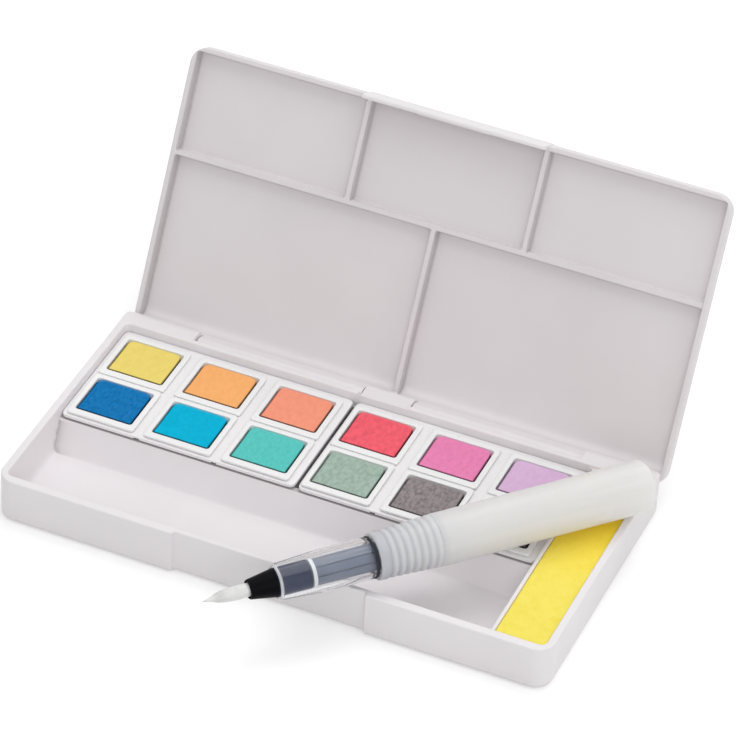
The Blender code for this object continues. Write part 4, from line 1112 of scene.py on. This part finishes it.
add_mark(soft_barrel, "clear", barrel_clear)
add_mark(soft_barrel, "core", barrel_core)

# %% [markdown]
# The tuft is a few hundred stiff nylon hairs. Each is a thin tapered tube, and all are worked out as one
# array: hair by station by side. They leave the nose side by side, swell to a belly and draw together to
# the point, and the outer ones end sooner. The middle of the bundle is one turned body under them,
# because its single hairs can't be seen.

# %% Hairs
HAIRS, STATIONS, SIDES = 460, 8, 5
HAIR_ROOT, HAIR_STAGGER, HAIR_RADIUS, BUNDLE_RADIUS = 14.3, 4.1, 0.075, 1.5
number = np.arange(HAIRS)
share = np.sqrt((number + 0.5) / HAIRS)
golden = number * np.pi * (3 - math.sqrt(5))
rng = np.random.default_rng(11)
finish_at = HAIR_STAGGER * share ** 1.3 + rng.uniform(0, 0.5, HAIRS)
along = np.linspace(0, 1, STATIONS)
place = HAIR_ROOT + (finish_at[:, None] - HAIR_ROOT) * along
spread = np.interp(place, [0.0, 2.5, 5.5, 8.4, 11.9, HAIR_ROOT], [0.06, 0.5, 0.94, 1.1, 1.04, 1.0])
lean = share[:, None] * BUNDLE_RADIUS * spread
hair_core = TIP + place[..., None] * ALONG + lean[..., None] * (
    np.cos(golden)[:, None, None] * ACROSS + np.sin(golden)[:, None, None] * UPWARD
)
thick = HAIR_RADIUS * np.interp(along, [0, 0.6, 1], [1, 0.8, 0.22])
turn = np.linspace(0, 2 * np.pi, SIDES, endpoint=False)
arm = np.cos(turn)[:, None] * ACROSS + np.sin(turn)[:, None] * UPWARD
hairs = hair_core[:, :, None] + thick[None, :, None, None] * arm
ends = np.broadcast_to(hair_core[:, [0, -1], None], (HAIRS, 2, SIDES, 3))
hairs = np.concatenate([ends[:, :1], hairs, ends[:, 1:]], axis=1)
one_hair = grid_faces(STATIONS + 2, SIDES, around=True)
faces = (one_hair + number[:, None, None] * (STATIONS + 2) * SIDES).reshape(-1, 4)
add_piece("brush_hairs", hairs, faces, hair_white, "brush_head", "bristle", ["brush_tuft"], sharp=80)
heart = [
    (0.0, 0.9), (0.36, 2.0), (0.72, 3.2), (1.12, 4.6), (1.4, 6.0), (1.58, 8.0), (1.58, 10.0), (1.53, 12.5),
    (0.0, 12.6),
]
points, faces = turned(heart, 32, closed=False)
add_piece("brush_heart", points, faces, hair_white, "brush_head", "bristle", sharp=80)

# %% [markdown]
# ## Floor, light and camera
# The set lies on white, under soft lamps from above, behind, in front and one side, and a pale sky all
# round. The camera sees the sky and the floor as plain white, while the object is lit by a calmer level, so
# that its own whites keep their shade.

# %% Floor and sky
def seen_directly(tree):
    """1 for what the camera sees, also by way of gloss or clear plastic, and 0 for light on a matt face."""
    path = tree.nodes.new("ShaderNodeLightPath").outputs
    total = path["Is Camera Ray"]
    for kind in ("Is Glossy Ray", "Is Transmission Ray"):
        larger = add_node(tree, "Math", {0: total, 1: path[kind]})
        larger.operation = "MAXIMUM"
        total = larger.outputs[0]
    return total


def white_floor():
    """A floor that takes shadows, lifted to white where it is seen directly."""
    material, tree, shader, place = start_finish("white_floor")
    fill(tree, shader, {
        "Base Color": between(tree, noise(tree, place, 6.0), (0.86, 0.86, 0.86), (0.89, 0.89, 0.89)),
        "Roughness": 0.9,
        "Specular IOR Level": 0.0,
        "Emission Color": (1, 1, 1, 1),
        "Emission Strength": between(tree, seen_directly(tree), 0.0, 0.25, 0.0, 1.0),
    })
    return material


FLOOR_HALF, FLOOR_LEVEL = 4, -0.0002
floor_mesh = bpy.data.meshes.new("floor")
corners = [(x * FLOOR_HALF, y * FLOOR_HALF, FLOOR_LEVEL) for x, y in ((-1, -1), (1, -1), (1, 1), (-1, 1))]
floor_mesh.from_pydata(corners, [], [(0, 1, 2, 3)])
floor_mesh.materials.append(white_floor())
floor = bpy.data.objects.new("floor", floor_mesh)
bpy.context.scene.collection.objects.link(floor)

sky = bpy.data.worlds.new("pale_sky")
sky.use_nodes = True
tree = sky.node_tree
strength = between(tree, seen_directly(tree), 0.55, 1.0, 0.0, 1.0)
fill(tree, tree.nodes["Background"], {"Strength": strength, "Color": (1, 1, 1, 1)})
bpy.context.scene.world = sky
print("floor and sky:", floor.name, sky.name)

# %% Lamps
def soft_lamp(name, place, size, watts):
    """A square lamp in metres that faces the middle of the box."""
    lamp = bpy.data.lights.new(name, "AREA")
    lamp.size = size
    lamp.energy = watts
    piece = bpy.data.objects.new(name, lamp)
    bpy.context.scene.collection.objects.link(piece)
    piece.location = place
    piece.rotation_euler = (-piece.location).to_track_quat("-Z", "Y").to_euler()
    print(f"{name}: {watts} W from {place}")


soft_lamp("back_panel", (0.0, 0.5, 0.9), 0.6, 2.2)
soft_lamp("top_right_panel", (0.3, 0.0, 1.0), 0.5, 1.2)
soft_lamp("top_left_panel", (-0.3, 0.0, 1.0), 0.5, 1.0)
soft_lamp("front_panel", (0.55, -1.1, 0.75), 0.7, 3.2)
soft_lamp("side_panel", (1.1, -0.2, 0.45), 0.7, 1.0)

# %% [markdown]
# The camera was worked out from the box's own edges in the picture: a long lens, about 38 degrees above the
# table, a little to the right and very slightly tilted.

# %% Camera
camera = bpy.data.cameras.new("camera")
camera.lens, camera.sensor_width, camera.clip_start = 232.14, 36.0, 0.05
viewer = bpy.data.objects.new("camera", camera)
bpy.context.scene.collection.objects.link(viewer)
right = np.array([0.91636308, 0.39768628, 0.04609045])
down = np.array([0.27935146, -0.55269317, -0.78517070])
ahead = np.array([-0.28677774, 0.73237687, -0.61756186])
pose = np.eye(4)
pose[:3, 0], pose[:3, 1], pose[:3, 2] = right, -down, -ahead
pose[:3, 3] = (0.322648, -0.804203, 0.724824)
viewer.matrix_world = Matrix(pose.tolist())
scene = bpy.context.scene
scene.camera = viewer
scene.view_settings.view_transform = "Standard"
print("lens in mm:", round(camera.lens, 2))
